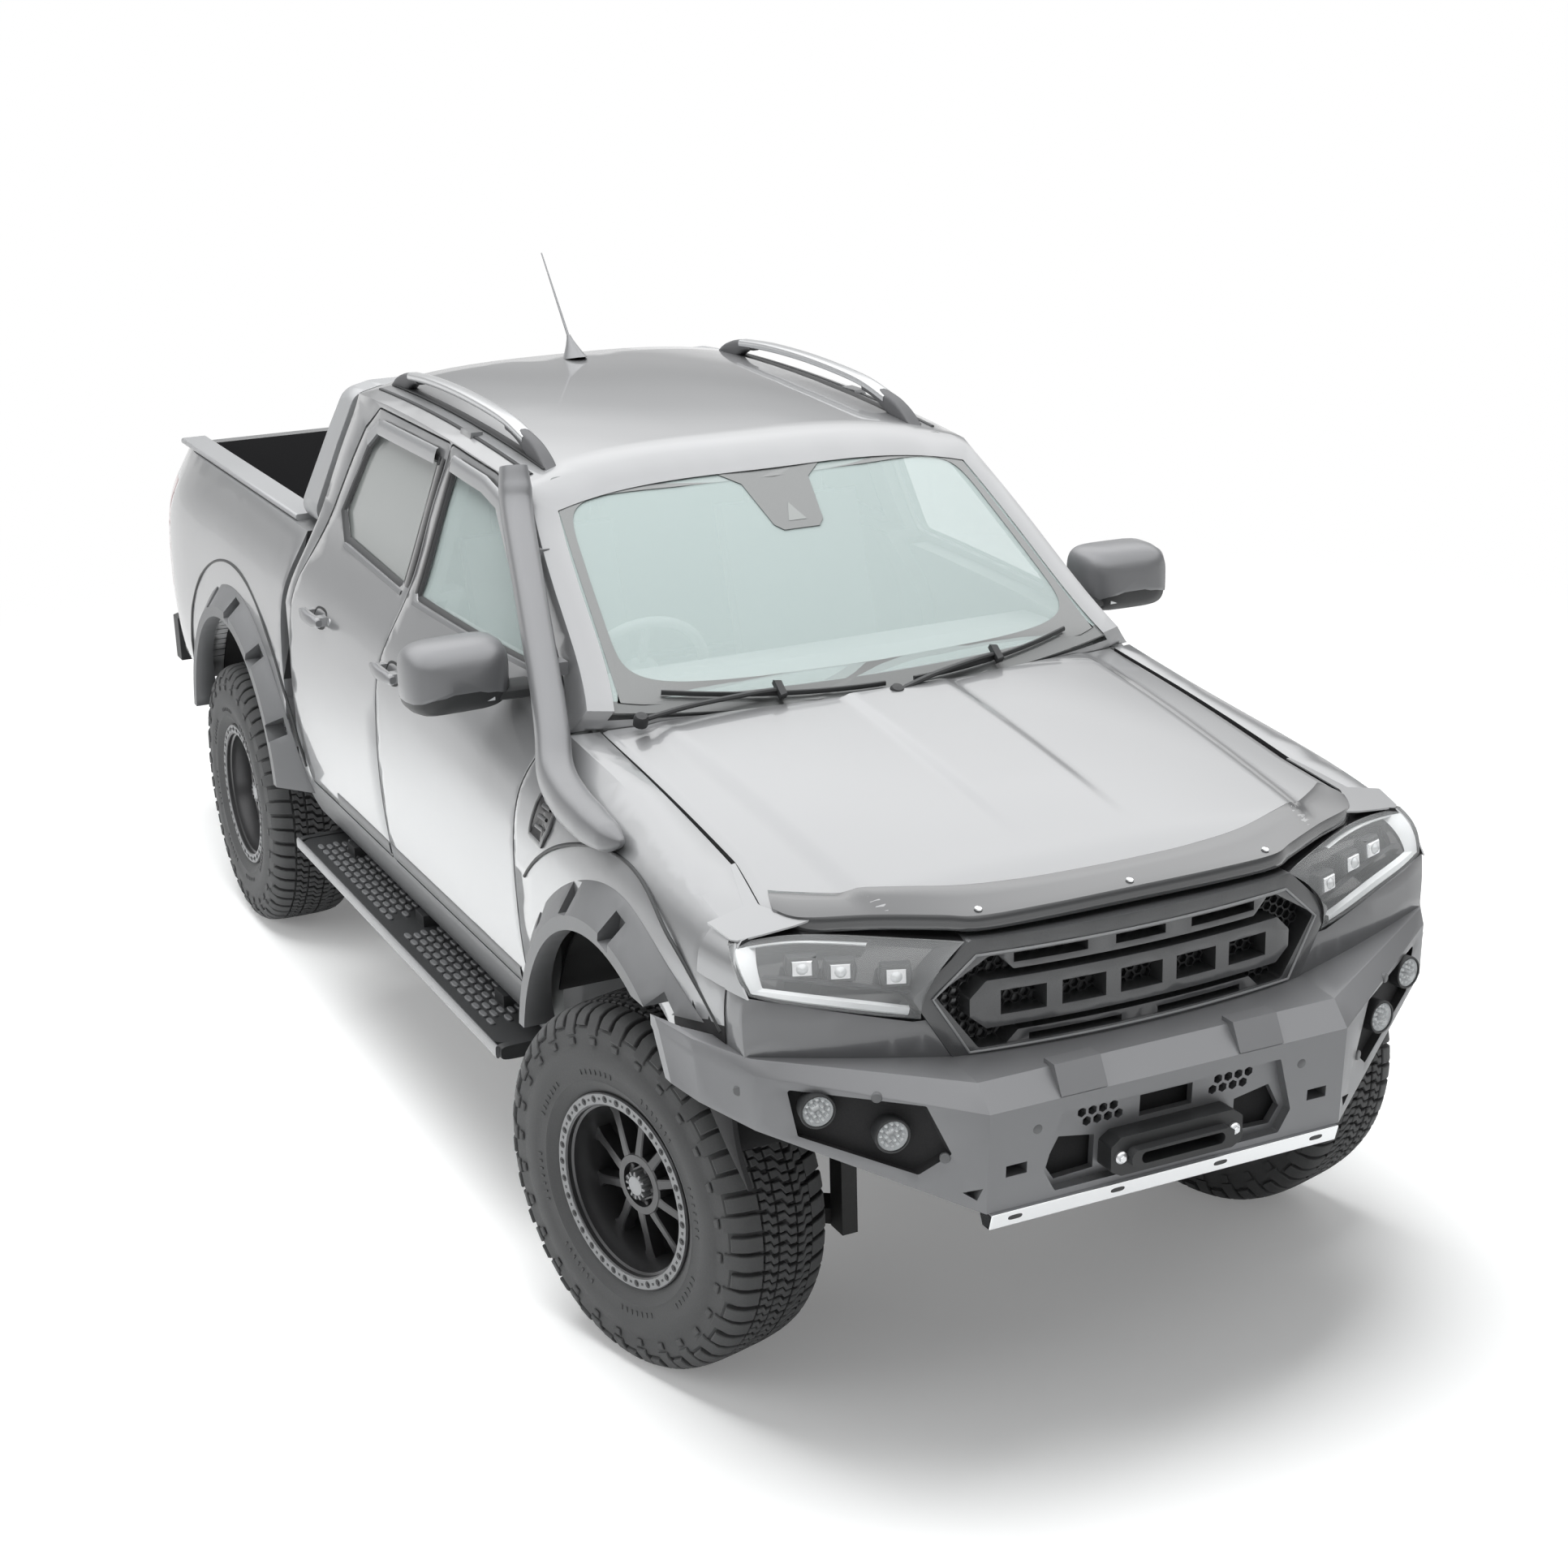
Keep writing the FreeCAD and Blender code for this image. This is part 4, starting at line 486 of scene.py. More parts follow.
BONNET_EDGE = ((-451, 711), (300, 711), (470, 738), (560, 688), (690, 430), (728, 362), (742, 200), (746, 0))


def crease_lift(x, y):
    """Height that the pressed creases add to the bonnet."""
    far = abs(y)
    middle = 7 * (1 - ease((far - 124) / 26)) * (1 - ease((x - 250) / 300))
    dome = 13 * (1 - ease((far - 560 + 0.04 * x) / 46)) * (1 - ease((x - 560) / 150)) * ease((x + 470) / 160)
    return middle * ease((x + 440) / 120) + dome


def bonnet_sheet():
    shape = Shape()
    rows = []
    for i in range(57):
        x0 = -300 + 1046 * i / 56
        row = []
        for j in range(-60, 61):
            t = j / 60
            y = t * between(BONNET_EDGE, x0)
            x = x0 - 3e-4 * y * y * (1 - ease((x0 + 300) / 700))
            roll = 16 * max(0, abs(t) - 0.985) / 0.015
            row.append(at(x, y, top_z(x, y) + crease_lift(x, y) - 0.3 * roll))
        rows.append(row)
    sheet(shape, rows, PAINT, UP * -0.022)
    finish_piece(shape, "bonnet_panel", ["bonnet"], "bonnet", 50)


def guard_strip():
    """Tinted guard lying over the bonnet's front edge and turned down ahead of it."""
    shape = Shape()
    edge = ((743, 0), (741, 200), (727, 362), (690, 440), (628, 560), (562, 690), (500, 728))
    inner = ((648, 0), (642, 190), (620, 345), (576, 470), (522, 580), (468, 660), (432, 704))
    edge, inner = curve_points(edge, 40), curve_points(inner, 40)
    section = ((0, 0.8, 0), (0.03, 2.2, 0), (0.4, 5, 0), (0.8, 6, 0), (1, 4, 4), (1, -6, 9), (1, -18, 10),
               (1, -27, 9))
    rows = []
    for side, picks in ((1, range(39, -1, -1)), (-1, range(1, 40))):
        for k in picks:
            tail = ease((39 - k) / 6)
            row = []
            for share, lift, ahead in section:
                x, y = inner[k].lerp(edge[k], share)
                z = top_z(x, y) + crease_lift(x, y) * (1 - share) + lift * (tail if lift < 0 else 1)
                row.append(at(x + ahead, y * side, z))
            rows.append(row)
    sheet(shape, rows, ACRYLIC, Vector((-0.002, 0, -0.002)))
    for x, y in ((712, 358), (712, -358), (728, 0)):
        place = facing(at(x, y, top_z(x, y) + 8), (0.25, 0, 1), ACROSS)
        lathe(shape, [(0.0001, 0.0045), (0.0045, 0.0042), (0.0078, 0.0025), (0.0088, 0)], CHROME, 20, place)
    finish_piece(shape, "bonnet_guard_strip", ["bonnet_guard"], "bonnet")


LAMP_STEPS = 40
LAMP_LOW = curve_points(((727, 503, 1026), (712, 590, 1046), (683, 700, 1072), (660, 790, 1096),
                         (634, 846, 1113)), LAMP_STEPS + 1)
LAMP_TOP = curve_points(((736, 404, 1181), (692, 470, 1184), (604, 640, 1197), (574, 740, 1204),
                         (552, 853, 1200)), LAMP_STEPS + 1)


def lamp_spot(u, v, sink, side, back=(0, 0, 0)):
    """Point on the lens; u runs outward, v upward, both from 0 to 1; back moves it in millimetres."""
    i = min(int(u * LAMP_STEPS), LAMP_STEPS - 1)
    t = u * LAMP_STEPS - i
    spot = LAMP_LOW[i].lerp(LAMP_LOW[i + 1], t).lerp(LAMP_TOP[i].lerp(LAMP_TOP[i + 1], t), v)
    spot.y += 34 * (1 - u) ** 3 * (4 * v * (1 - v)) * 0.9
    bulge = 56 * v * (1 - v) - sink
    spot.x += bulge * (0.9 - 0.35 * u) + back[0]
    spot.y += bulge * (0.15 + 0.75 * u) + back[1]
    spot.z += bulge * 0.35 + (0.4 * sink * (0.5 - v) if sink > 0 else 0) + back[2]
    return at(spot.x, spot.y * side, spot.z)


def lamp_rows(shape, levels, side, material, low_u=0, high_u=1, drop=None):
    """Surface through rows along the lens; levels are (v, sink) pairs."""
    rows = [[lamp_spot(low_u + (high_u - low_u) * i / 28, v, sink, side) for i in range(29)]
            for v, sink in levels]
    sheet(shape, rows, material, drop)


def headlamp_unit(side):
    shape = Shape()
    lamp_rows(shape, [(j / 12, 0) for j in range(13)], side, LENS)
    lamp_rows(shape, ((0.02, 3), (0.06, 55), (0.5, 70), (0.94, 55), (0.98, 3)), side, GLOSS,
              drop=AHEAD * -0.004)
    for u in (0, 1):
        sheet(shape, [[lamp_spot(u, j / 8, sink, side) for j in range(9)] for sink in (1, 60)], GLOSS)
    for v0, v1, sink, start in ((0.03, 0.13, 9, 0.1), (0.88, 0.92, 12, 0.4)):
        levels = ((v0, sink), (v0 + 0.3 * (v1 - v0), sink - 5), (v1, sink - 3), (v1 + 0.03, sink + 14))
        lamp_rows(shape, levels, side, LIGHT_BAR, start, 0.97)
    brow = [[lamp_spot(i / 28, 1, 0, side, (-0.8 * sink, -0.5 * sink, up)) for i in range(29)]
            for sink, up in ((0, 0), (26, 3), (60, 4))]
    sheet(shape, brow, GLOSS, UP * -0.003)
    tip = [[lamp_spot(u, 0.05 + 0.085 * j, sink, side) for j in range(11)]
           for u, sink in ((0.985, 9), (0.96, 4), (0.9, 6), (0.88, 20))]
    sheet(shape, tip, LIGHT_BAR)
    for u in (0.27, 0.46, 0.65):
        place = facing(lamp_spot(u, 0.56, 34, side), (0.93, 0.36 * side, 0.08))
        slab(shape, pointed(0.031, 0.024, 0.036), -0.012, 0.014, BLACK, place, 0.004)
        slab(shape, box_outline(0.023, 0.017), 0.01, 0.022, CHROME, place, 0.004)
        lathe(shape, [(0.0001, 0.03), (0.007, 0.0285), (0.0125, 0.0225)], LENS_SOLID, 20, place)
    lamp_rows(shape, ((0.3, 40), (0.34, 26), (0.38, 40)), side, GRILLE_GREY, 0.12, 0.88)
    return shape


def wing_corner(shape, side):
    """Painted corner that carries the wing down to the lamp."""
    rows = []
    for i in range(31):
        x = 298 + 278 * i / 30
        near = between(((298, 716), (470, 743), (560, 694), (577, 664)), x)
        far = between(((298, 728), (462, 774), (463, 872), (552, 866), (574, 740), (577, 700)), x)
        widths = [min(near + (far - near) * j / 14, side_y(x, 1195) - 2) for j in range(15)]
        rows.append([at(x, y * side, top_z(x, y) + 0.3) for y in widths])
    sheet(shape, rows, PAINT, UP * -0.004)
    rows = []
    for j in range(9):
        z = 1110 + 100 * j / 8
        front = 640 + (553 - 640) * (z - 1113) / 90
        row = []
        for i in range(9):
            x = 464 + (front - 464) * i / 8
            row.append(on_side(x, min(z, top_z(x, side_y(x, z)) + 0.3), -0.8, side))
        rows.append(row)
    sheet(shape, rows, PAINT, ACROSS * (-0.004 * side))


def headlamp_pieces():
    for side, name in NAMED_SIDES:
        shape = headlamp_unit(side)
        wing_corner(shape, side)
        finish_piece(shape, "headlamp_" + name, ["headlamps"], smooth=44)


# Cab glass dressing, wipers and roof fittings

def screen_loop(low, high, margin, power):
    """Loop on the windscreen, drawn in by a margin and kept above the path of the bonnet's rear edge."""
    loop = []
    for a, b in unit_ring(120, power):
        z = (low + high) / 2 + b * ((high - low) / 2 - margin)
        y = a * (side_y(screen_x(0, z), z) - 56 - margin)
        z = max(z, 1393 + 3.8e-5 * y * y + 12 * (abs(y) / 660) ** 4)
        loop.append(at(screen_x(y, z) - 4, y, z))
    return loop


def screen_dressing():
    shape = Shape()
    skin_loops(shape, [screen_loop(1390, 1842, 0, 60), screen_loop(1424, 1826, 22, 8)], FRIT, caps=False)
    plate = [(-150, 1822), (-96, 1796), (-70, 1712), (-50, 1700), (50, 1700), (70, 1712), (96, 1796),
             (150, 1822)]
    window = [(-26, 1716), (26, 1716), (0, 1752)]
    for outline, back, material in ((plate, 3.2, FRIT_DARK), (window, 2.2, PALE_GLASS)):
        shape.add([at(screen_x(y, z) - back, y, z) for y, z in outline], [range(len(outline))], material)
    finish_piece(shape, "windscreen_band")


def wiper_pieces():
    shape = Shape()
    for pivot_y, y0, y1 in ((-640, -560, -20), (-10, 60, 560)):
        blade = []
        for i in range(17):
            y = y0 + (y1 - y0) * i / 16
            z = 1404 + 9e-5 * y * y
            blade.append(at(screen_x(y, z) + 4.5, y, z + 5))
        swept(shape, blade, (0.0045, 0.0065), BLACK, count=8)
        middle = blade[8]
        start = at(screen_x(pivot_y, 1384) + 12, pivot_y, 1396)
        arm = [start, start.lerp(middle, 0.35) + Vector((0.006, 0, 0.014)),
               start.lerp(middle, 0.8) + Vector((0.004, 0, 0.014)), middle + Vector((0.002, 0, 0.01))]
        swept(shape, curve_points(arm, 14), (0.008, 0.006), BLACK, count=8)
        cap = facing(middle + Vector((0.004, 0, 0.01)), (0.6, 0, 0.8), ACROSS)
        slab(shape, tapered(0.026, -0.01, 0.022, 0.01), -0.006, 0.01, BLACK, cap, 0.003)
        lathe(shape, [(0.0001, 0.016), (0.014, 0.015), (0.018, 0.008), (0.018, -0.012)], BLACK, 20,
              facing(start, (0.4, 0, 0.9), ACROSS))
    finish_piece(shape, "wiper_arms", covers=["wipers"])


def cowl_panel():
    """Black panel between bonnet and windscreen."""
    shape = Shape()
    rows = []
    for j in range(-40, 41):
        y = 16 * j
        front = -310 - 3e-4 * y * y
        back = screen_x(y, 1398) - 4
        rows.append([at(min(front + (back - front) * share, front), y,
                        1372 + 20 * share - 4 * sin(pi * share))
                     for share in (0, 0.25, 0.5, 0.75, 1)])
    sheet(shape, rows, BLACK)
    finish_piece(shape, "cowl_panel")


RAIL_Y = 534


def roof_rail_pieces():
    shape = Shape()
    bar = curve_points(((-1330, 1900), (-1500, 1930), (-1800, 1945), (-2080, 1944), (-2280, 1932)), 30)
    feet = (((-1150, 1826), (-1210, 1862), (-1280, 1892), (-1370, 1907), (-1460, 1916)),
            ((-2470, 1868), (-2410, 1898), (-2340, 1920), (-2270, 1930), (-2200, 1932)))
    for side in SIDES:
        swept(shape, [at(x, RAIL_Y * side, z) for x, z in bar], (0.0205, 0.012), SILVER, power=3.4)
        for foot in feet:
            loops = []
            for k, (x, z) in enumerate(curve_points(foot, 18)):
                share = k / 17
                low = max(roof_z(x, RAIL_Y) - 6, z - 60 * (1 - share) - 18)
                high = z + 10 * ease(share * 3) + 4
                if share > 0.55:
                    low = low + (z - 13 - low) * ease((share - 0.55) / 0.45)
                wide = 0.0195 - 0.006 * (1 - ease(share * 4))
                loops.append(soft_loop(at(x, RAIL_Y * side, (low + high) / 2), ACROSS, UP, wide,
                                       max((high - low) / 2, 2) / 1000, 18, 3.2))
            skin_loops(shape, loops, RAIL_FOOT)
    finish_piece(shape, "roof_rail_bars", ["roof_rails"], smooth=44)


def roof_strips_and_rail_shadows():
    """Black strips: sealing strips along the roof's edges, and under its rails a strip that is partly the
    dark roof ditch and partly a painted shadow of the rail bars.
    """
    shape = Shape()
    for side in SIDES:
        # The strip under each rail stands for the roof ditch and a painted shadow of the bar above it
        for y, half, low in ((588, 0.006, 0.003), (RAIL_Y + 6, 0.015, 0.002)):
            path = [at(x, y * side, roof_z(x, y) + 1) for x in range(-2440, -1160, 60)]
            swept(shape, path, (half, low), BLACK, count=8)
    finish_piece(shape, "roof_seal_strips_and_rail_shadows")


def antenna_piece():
    shape = Shape()
    top = roof_z(-2365, 0)
    loops = []
    for share in (0, 0.08, 0.3, 0.6, 0.85, 1):
        half = 0.036 * (1 - share) ** 1.3 + 0.0065
        centre = at(-2352 - 44 * share, 0, top + 66 * share)
        loops.append(soft_loop(centre, Vector((1, 0, 0.2)), ACROSS, half * 1.35, half * 0.8, 24, 2))
    skin_loops(shape, loops, SNORKEL)
    start = at(-2396, 0, top + 60)
    path = [start.lerp(at(-2590, 0, 2217), i / 20) for i in range(21)]
    swept(shape, path, [(0.0042 - 0.0022 * i / 20,) * 2 for i in range(21)], SNORKEL, ACROSS, 10, 2)
    finish_piece(shape, "antenna_whip", covers=["antenna"], smooth=50)


# Stations of the intake duct: x, y, z and the half sizes of its section
SNORKEL_PATH = ((38, -868, 1262, 6, 6), (-10, -880, 1262, 34, 32), (-110, -884, 1266, 46, 42),
                (-240, -882, 1280, 50, 44), (-360, -868, 1312, 48, 44), (-450, -838, 1372, 42, 41),
                (-560, -806, 1450, 38, 39), (-790, -748, 1612, 38, 39), (-1010, -692, 1768, 40, 40),
                (-1062, -676, 1830, 43, 41), (-1082, -670, 1886, 34, 34))


def snorkel_piece():
    shape = Shape()
    tables = [[(i, station[column]) for i, station in enumerate(SNORKEL_PATH)] for column in (3, 4)]
    sizes = [tuple(between(table, i / 7) / 1000 for table in tables) for i in range(71)]
    path = curve_points([at(*station[:3]) for station in SNORKEL_PATH], 71)
    swept(shape, path, sizes, SNORKEL, ACROSS, 28, 2.5)
    for x, y, z in ((-640, -766, 1480), (-930, -690, 1690)):
        block(shape, at(x - 22, y, z - 16), at(x + 22, y + 40, z + 16), SNORKEL)
    finish_piece(shape, "snorkel_duct", ["snorkel"], smooth=60)


# Door mirrors and door trim

MIRROR_Y = 952
MIRROR_Z = 1448
MIRROR_SPLIT = -46
# Stations of the housing: x, size, drop
MIRROR_STATIONS = ((-712, 0.28, 16), (-718, 0.6, 8), (-734, 0.84, 3), (-760, 0.95, 0), (-800, 1, 0),
                   (-846, 1, 0), (-860, 0.97, 0), (-860, 0.86, 0))


def mirror_piece(side, name):
    shape = Shape()
    outline = []
    for turn in turns(48):
        c, s = cos(turn), sin(turn)
        outline.append((131 * bent(c, 4.6), 86 * bent(s, 3.8) + (5 * (1 - c) if s > 0 else -6 * c)))
    for limit, inset, tuck, material in ((max, 0, 0, SNORKEL), (min, 3, 2, BLACK)):
        rows = [[at(x - inset, (MIRROR_Y + y * size - tuck) * side,
                    MIRROR_Z + limit(z, MIRROR_SPLIT) * size - down * 0.2) for y, z in outline]
                for x, size, down in MIRROR_STATIONS]
        skin_loops(shape, rows, material)
    face = [at(-861.5, (MIRROR_Y + y * 0.86) * side, MIRROR_Z + z * 0.84) for y, z in outline]
    shape.add(face, [range(48)], MIRROR)
    strip = [at(-724 - 40 * (i / 12) ** 3, (880 + 15 * i) * side, 1400 + 5 * i / 12) for i in range(13)]
    swept(shape, strip, (0.003, 0.005), LENS_SOLID, count=8)
    arm = [at(x, y * side, z) for x, y, z in ((-770, 752, 1404), (-778, 800, 1402), (-786, 862, 1402),
                                              (-790, 900, 1406))]
    swept(shape, curve_points(arm, 10), (0.055, 0.018), BLACK, power=3)
    finish_piece(shape, "mirror_housing_" + name, ["mirror_" + name],
                 "door_front_" + name, 36)


def grown(outline, amount):
    """Outline moved outward by an amount."""
    following = outline[1:] + outline[:1]
    area = sum(x0 * z1 - x1 * z0 for (x0, z0), (x1, z1) in zip(outline, following))
    sign = copysign(1, area)
    result = []
    for i, (x, z) in enumerate(outline):
        before = Vector(outline[i]) - Vector(outline[i - 1])
        after = Vector(following[i]) - Vector(outline[i])
        n1 = Vector((before.y, -before.x)).normalized() * sign
        n2 = Vector((after.y, -after.x)).normalized() * sign
        joint = (n1 + n2).normalized()
        reach = amount / max(0.4, joint.dot(n1))
        result.append((x + joint.x * reach, z + joint.y * reach))
    return result


def dense(outline, step, closed=True):
    """Outline with extra points on its lines, at most about a step apart."""
    points = []
    for (x0, z0), (x1, z1) in zip(outline, outline[1:] + outline[:1] if closed else outline[1:]):
        parts = max(1, int(hypot(x1 - x0, z1 - z0) / step))
        points += [(x0 + (x1 - x0) * i / parts, z0 + (z1 - z0) * i / parts) for i in range(parts)]
    return points if closed else points + [outline[-1]]


def pane_seal(shape, pane, side):
    """Black seal round one side window."""
    parts = [max(1, int(hypot(x1 - x0, z1 - z0) / 60))
             for (x0, z0), (x1, z1) in zip(pane, pane[1:] + pane[:1])]
    loops = []
    for amount, lift in ((-12, -9), (-7, -1), (4, 1.2), (8, 0.4)):
        ring = grown(pane, amount)
        loops.append([on_side(x0 + (x1 - x0) * i / count, z0 + (z1 - z0) * i / count, lift, side)
                      for count, (x0, z0), (x1, z1) in zip(parts, ring, ring[1:] + ring[:1])
                      for i in range(count)])
    skin_loops(shape, loops, BLACK, caps=False)


def strip_on_side(shape, line, width, lifts, material, side):
    """Band that follows a line on the body side."""
    points = dense(line, 30, closed=False)
    rows = []
    for i, (x, z) in enumerate(points):
        x0, z0 = points[max(i - 1, 0)]
        x1, z1 = points[min(i + 1, len(points) - 1)]
        length = hypot(x1 - x0, z1 - z0)
        nx = -(z1 - z0) / length * width
        nz = (x1 - x0) / length * width
        rows.append([on_side(x + nx * share, z + nz * share, lift, side)
                     for share, lift in zip((-0.5, -0.42, 0, 0.42, 0.5), lifts)])
    sheet(shape, rows, material)


HANDLE_Z = 1272
SILL_Z = 726
# For each door: window outline, belt strip, visor line, pillar strip's x and width, handle's x, sill's ends
DOORS = {
    "front": (((-735, 1442), (-1212, 1764), (-1330, 1786), (-1582, 1800), (-1582, 1448)),
              ((-775, 1436), (-1590, 1438)), ((-900, 1562), (-1212, 1772), (-1330, 1794), (-1578, 1807)),
              -1596, 34, -1530, (-600, -1630)),
    "rear": (((-1702, 1450), (-1702, 1800), (-2225, 1798), (-2290, 1738), (-2362, 1545), (-2260, 1476)),
             ((-1694, 1442), (-2252, 1466)), ((-1706, 1806), (-2225, 1806), (-2282, 1762)),
             -1676, 44, -2220, (-1650, -2150))}


def door_pieces(door, side, name):
    """Seals, strips and a black handle dish of a door, the dish a painted shade of the recess behind the
    pull, and the pull over its plain handle.
    """
    body = f"door_{door}_{name}"
    shape = Shape()
    pane, belt, visor, post_x, post_width, handle_x, sill = DOORS[door]
    pane_seal(shape, pane, side)
    strip_on_side(shape, belt, 16, (0, 5, 7, 5, 0), FLARE, side)
    strip_on_side(shape, ((post_x, 1446), (post_x, 1806)), post_width, (0.3, 1.4, 1.6, 1.4, 0.3), GLOSS, side)
    strip_on_side(shape, visor, 46, (8, 13, 13, 10, 2), VISOR, side)
    # The dish lies on the door as a black bowl: painted shade where the recess behind the pull would be
    dish = [[on_side(handle_x + 8 + 60 * share * a, HANDLE_Z - 4 + 30 * share * b, 3.5 - depth, side)
             for a, b in unit_ring(28, 2.6)]
            for share, depth in ((1, 0), (0.8, 1.25), (0.5, 2.5), (0.02, 2.5))]
    skin_loops(shape, dish, BLACK, caps=False)
    strip_on_side(shape, [(x, SILL_Z) for x in sill], 42, (0.5, 3, 3.6, 3, 0.5), FLARE, side)
    lock = facing(on_side(handle_x + 92, HANDLE_Z, 0.4, side), (0, side, 0.25))
    lathe(shape, [(0.0001, 0.003), (0.01, 0.003), (0.012, 0)], SILVER, 18, lock)
    finish_piece(shape, f"door_trim_{door}_{name}", body=body)
    shape = Shape()
    shares = [i / 16 for i in range(17)]
    path = [on_side(handle_x + 88 - 176 * share, HANDLE_Z, 31 + 11 * sin(pi * share), side)
            for share in shares]
    sizes = [(0.01, 0.0165 * (0.55 + 0.45 * ease(4 * min(share, 1 - share)))) for share in shares]
    swept(shape, path, sizes, SNORKEL, count=16, power=3)
    finish_piece(shape, f"door_pull_{door}_{name}", body=body, smooth=44)


# Wings, flares and steps

def wing_vent(shape, side):
    """Bare dark insert behind the front wheel with a raised rim and five ribs."""
    outline = ((-326, 1290), (-326, 1186), (-362, 1132), (-446, 1138), (-440, 1240), (-410, 1296))
    middle_x = sum(x for x, z in outline) / 6
    middle_z = sum(z for x, z in outline) / 6
    for levels, material in ((((1, 0.2), (0.99, 5), (0.9, 6.5), (0.82, 5)), GRILLE_GREY),
                             (((0.84, 5.2), (0.8, 2), (0.02, 2)), GLOSS)):
        loops = [[on_side(middle_x + (x - middle_x) * share, middle_z + (z - middle_z) * share, lift, side)
                  for x, z in dense(outline, 16)] for share, lift in levels]
        skin_loops(shape, loops, material, caps=False)
    for i in range(5):
        z = 1176 + 24 * i
        line = ((-362 + 3 * i, z), (-408 + 3 * i, z))
        strip_on_side(shape, line, 9, (2.2, 5, 6, 5, 2.2), GRILLE_GREY, side)


BOLT_HEAD = [(0.0001, 0.003), (0.0105, 0.003), (0.0125, 0.0012), (0.0125, -0.004)]


def flare_pieces():
    shape = Shape()
    for side in SIDES:
        for station, low, high in ((0, -43, 44.5), (REAR_AXLE, -70, 70)):
            angles = [radians(low + (high - low) * i / 60) for i in range(61)]
            wire(shape, [on_side(station + FLARE_CENTRE[0] + (FLARE_R + 1) * sin(angle),
                                 FLARE_CENTRE[1] + (FLARE_R + 1) * cos(angle), 1.5, side)
                         for angle in angles], 0.0045, BLACK)
        for station, angles in ((0, (-38, -14, 10)), (REAR_AXLE, (-62, -38, -14, 10, 34, 58))):
            centre = Matrix.Translation(at(station + FLARE_CENTRE[0], 0, FLARE_CENTRE[1]))
            for angle in angles:
                bolt = centre @ Matrix.Rotation(radians(angle), 4, "Y")
                bolt = bolt @ Matrix.Translation((0, 0.9085 * side, 0.634))
                if side < 0:
                    bolt = bolt @ Matrix.Rotation(pi, 4, "Z")
                lathe(shape, BOLT_HEAD, SILVER, 22, bolt)
                slab(shape, ngon(0.0062, 6), 0.002, 0.008, STEEL, bolt, 0.001)
                slab(shape, tapered(0.026, -0.032, 0.021, 0.03), -0.006, -0.0035, SNORKEL, bolt, 0.001)
        wing_vent(shape, side)
    finish_piece(shape, "flare_trim")


def step_pieces():
    """Grip ribs, end caps and a grey outer edge on the running boards."""
    shape = Shape()
    levels = ((0.021, 0.0085, -0.004), (0.021, 0.0085, 0.001), (0.018, 0.0058, 0.0035))
    for side in SIDES:
        for low, high in ((-1490, -760), (-2330, -1600)):
            for row in range(5):
                first = low + (12 if row % 2 else 0)
                for x in range(first, high - 46, 56):
                    centre = at(x + 23, (826 + 24 * row) * side, 530.5)
                    skin_loops(shape, [soft_loop(centre + UP * up, AHEAD, ACROSS, half_x, half_y, 12, 3)
                                       for half_x, half_y, up in levels], FLARE)
        path = [at(-640 - 1790 * i / 30, 960 * side, 514) for i in range(31)]
        swept(shape, path, (0.006, 0.017), SNORKEL, count=12, power=3)
        for ends in (((-655, 0.084), (-628, 0.08)), ((-2436, 0.08), (-2410, 0.084))):
            skin_loops(shape, [soft_loop(at(x, 876 * side, 512), ACROSS, UP, half, 0.019, 24, 5)
                               for x, half in ends], BLACK)
    finish_piece(shape, "step_grips")


# Front bumper fittings and grille

def bumper_x(y, z):
    """Station of the bumper's face."""
    middle = 893 + 16 * (z - 640) / 231
    outer = 652 + 5 * (z - 823) / 124
    return middle + (outer - middle) * max(0, abs(y) - 445) / 405


def lamp_round(shape, place):
    """Driving lamp: bezel, faceted reflector and lens."""
    lathe(shape, [(0.0365, -0.03), (0.0385, 0.004), (0.037, 0.0085), (0.0335, 0.009), (0.032, 0.004)],
          BLACK, 44, place)
    lathe(shape, [(0.0322, 0.0055), (0.03, -0.002), (0.021, -0.012), (0.008, -0.016), (0.0001, -0.016)],
          LENS_SOLID, 44, place)
    for ring, count in ((0.0245, 12), (0.013, 7)):
        for turn in turns(count):
            lathe(shape, [(0.0001, 0.0025), (0.003, 0.0015), (0.005, -0.004), (0.0055, -0.012)],
                  LENS_SOLID, 10, place @ spun(turn, ring))
    lathe(shape, [(0.0001, 0.011), (0.012, 0.0104), (0.024, 0.0082), (0.0325, 0.005)], LENS, 44, place)


def bumper_fittings():
    shape = Shape()
    for side in SIDES:
        for x, y, z in ((729, 746, 876), (805, 615, 823)):
            lamp_round(shape, facing(at(x, y * side, z), (1, 0.2 * side, 0.02)))
        for y, z, back in ((640, 905, 0), (872, 905, 20), (520, 770, 0)):
            place = facing(at(bumper_x(y, z) - back, y * side, z), (0.85, 0.5 * side, 0))
            lathe(shape, [(0.0001, 0.0035), (0.0095, 0.0032), (0.0115, 0.001), (0.0115, -0.006)],
                  FLARE, 22, place)
        place = facing(at(bumper_x(320, 800), 330 * side, 812), AHEAD)
        lathe(shape, [(0.0001, 0.0025), (0.0095, 0.0022), (0.0115, 0.0005), (0.0115, -0.006)],
              FLARE, 22, place)
        bolt = facing(at(928, 142 * side, 712), AHEAD)
        lathe(shape, [(0.0001, 0.006), (0.011, 0.006), (0.014, 0.003), (0.014, -0.006)], SILVER, 24, bolt)
        slab(shape, ngon(0.0085, 6), 0.004, 0.012, SILVER, bolt, 0.0015)
    block(shape, at(815, -425, 652), at(838, 425, 838), MATT)
    for y in (-380, -130, 130, 380):
        loops = [[at(899.5 + 1.95 * share * b, y + 17 * share * a, 622 + 6 * share * b)
                  for a, b in unit_ring(20, 3)] for share in (1, 0.02)]
        skin_loops(shape, loops, BLACK, caps=False)
    finish_piece(shape, "bumper_fittings", ["spot_lamps"])


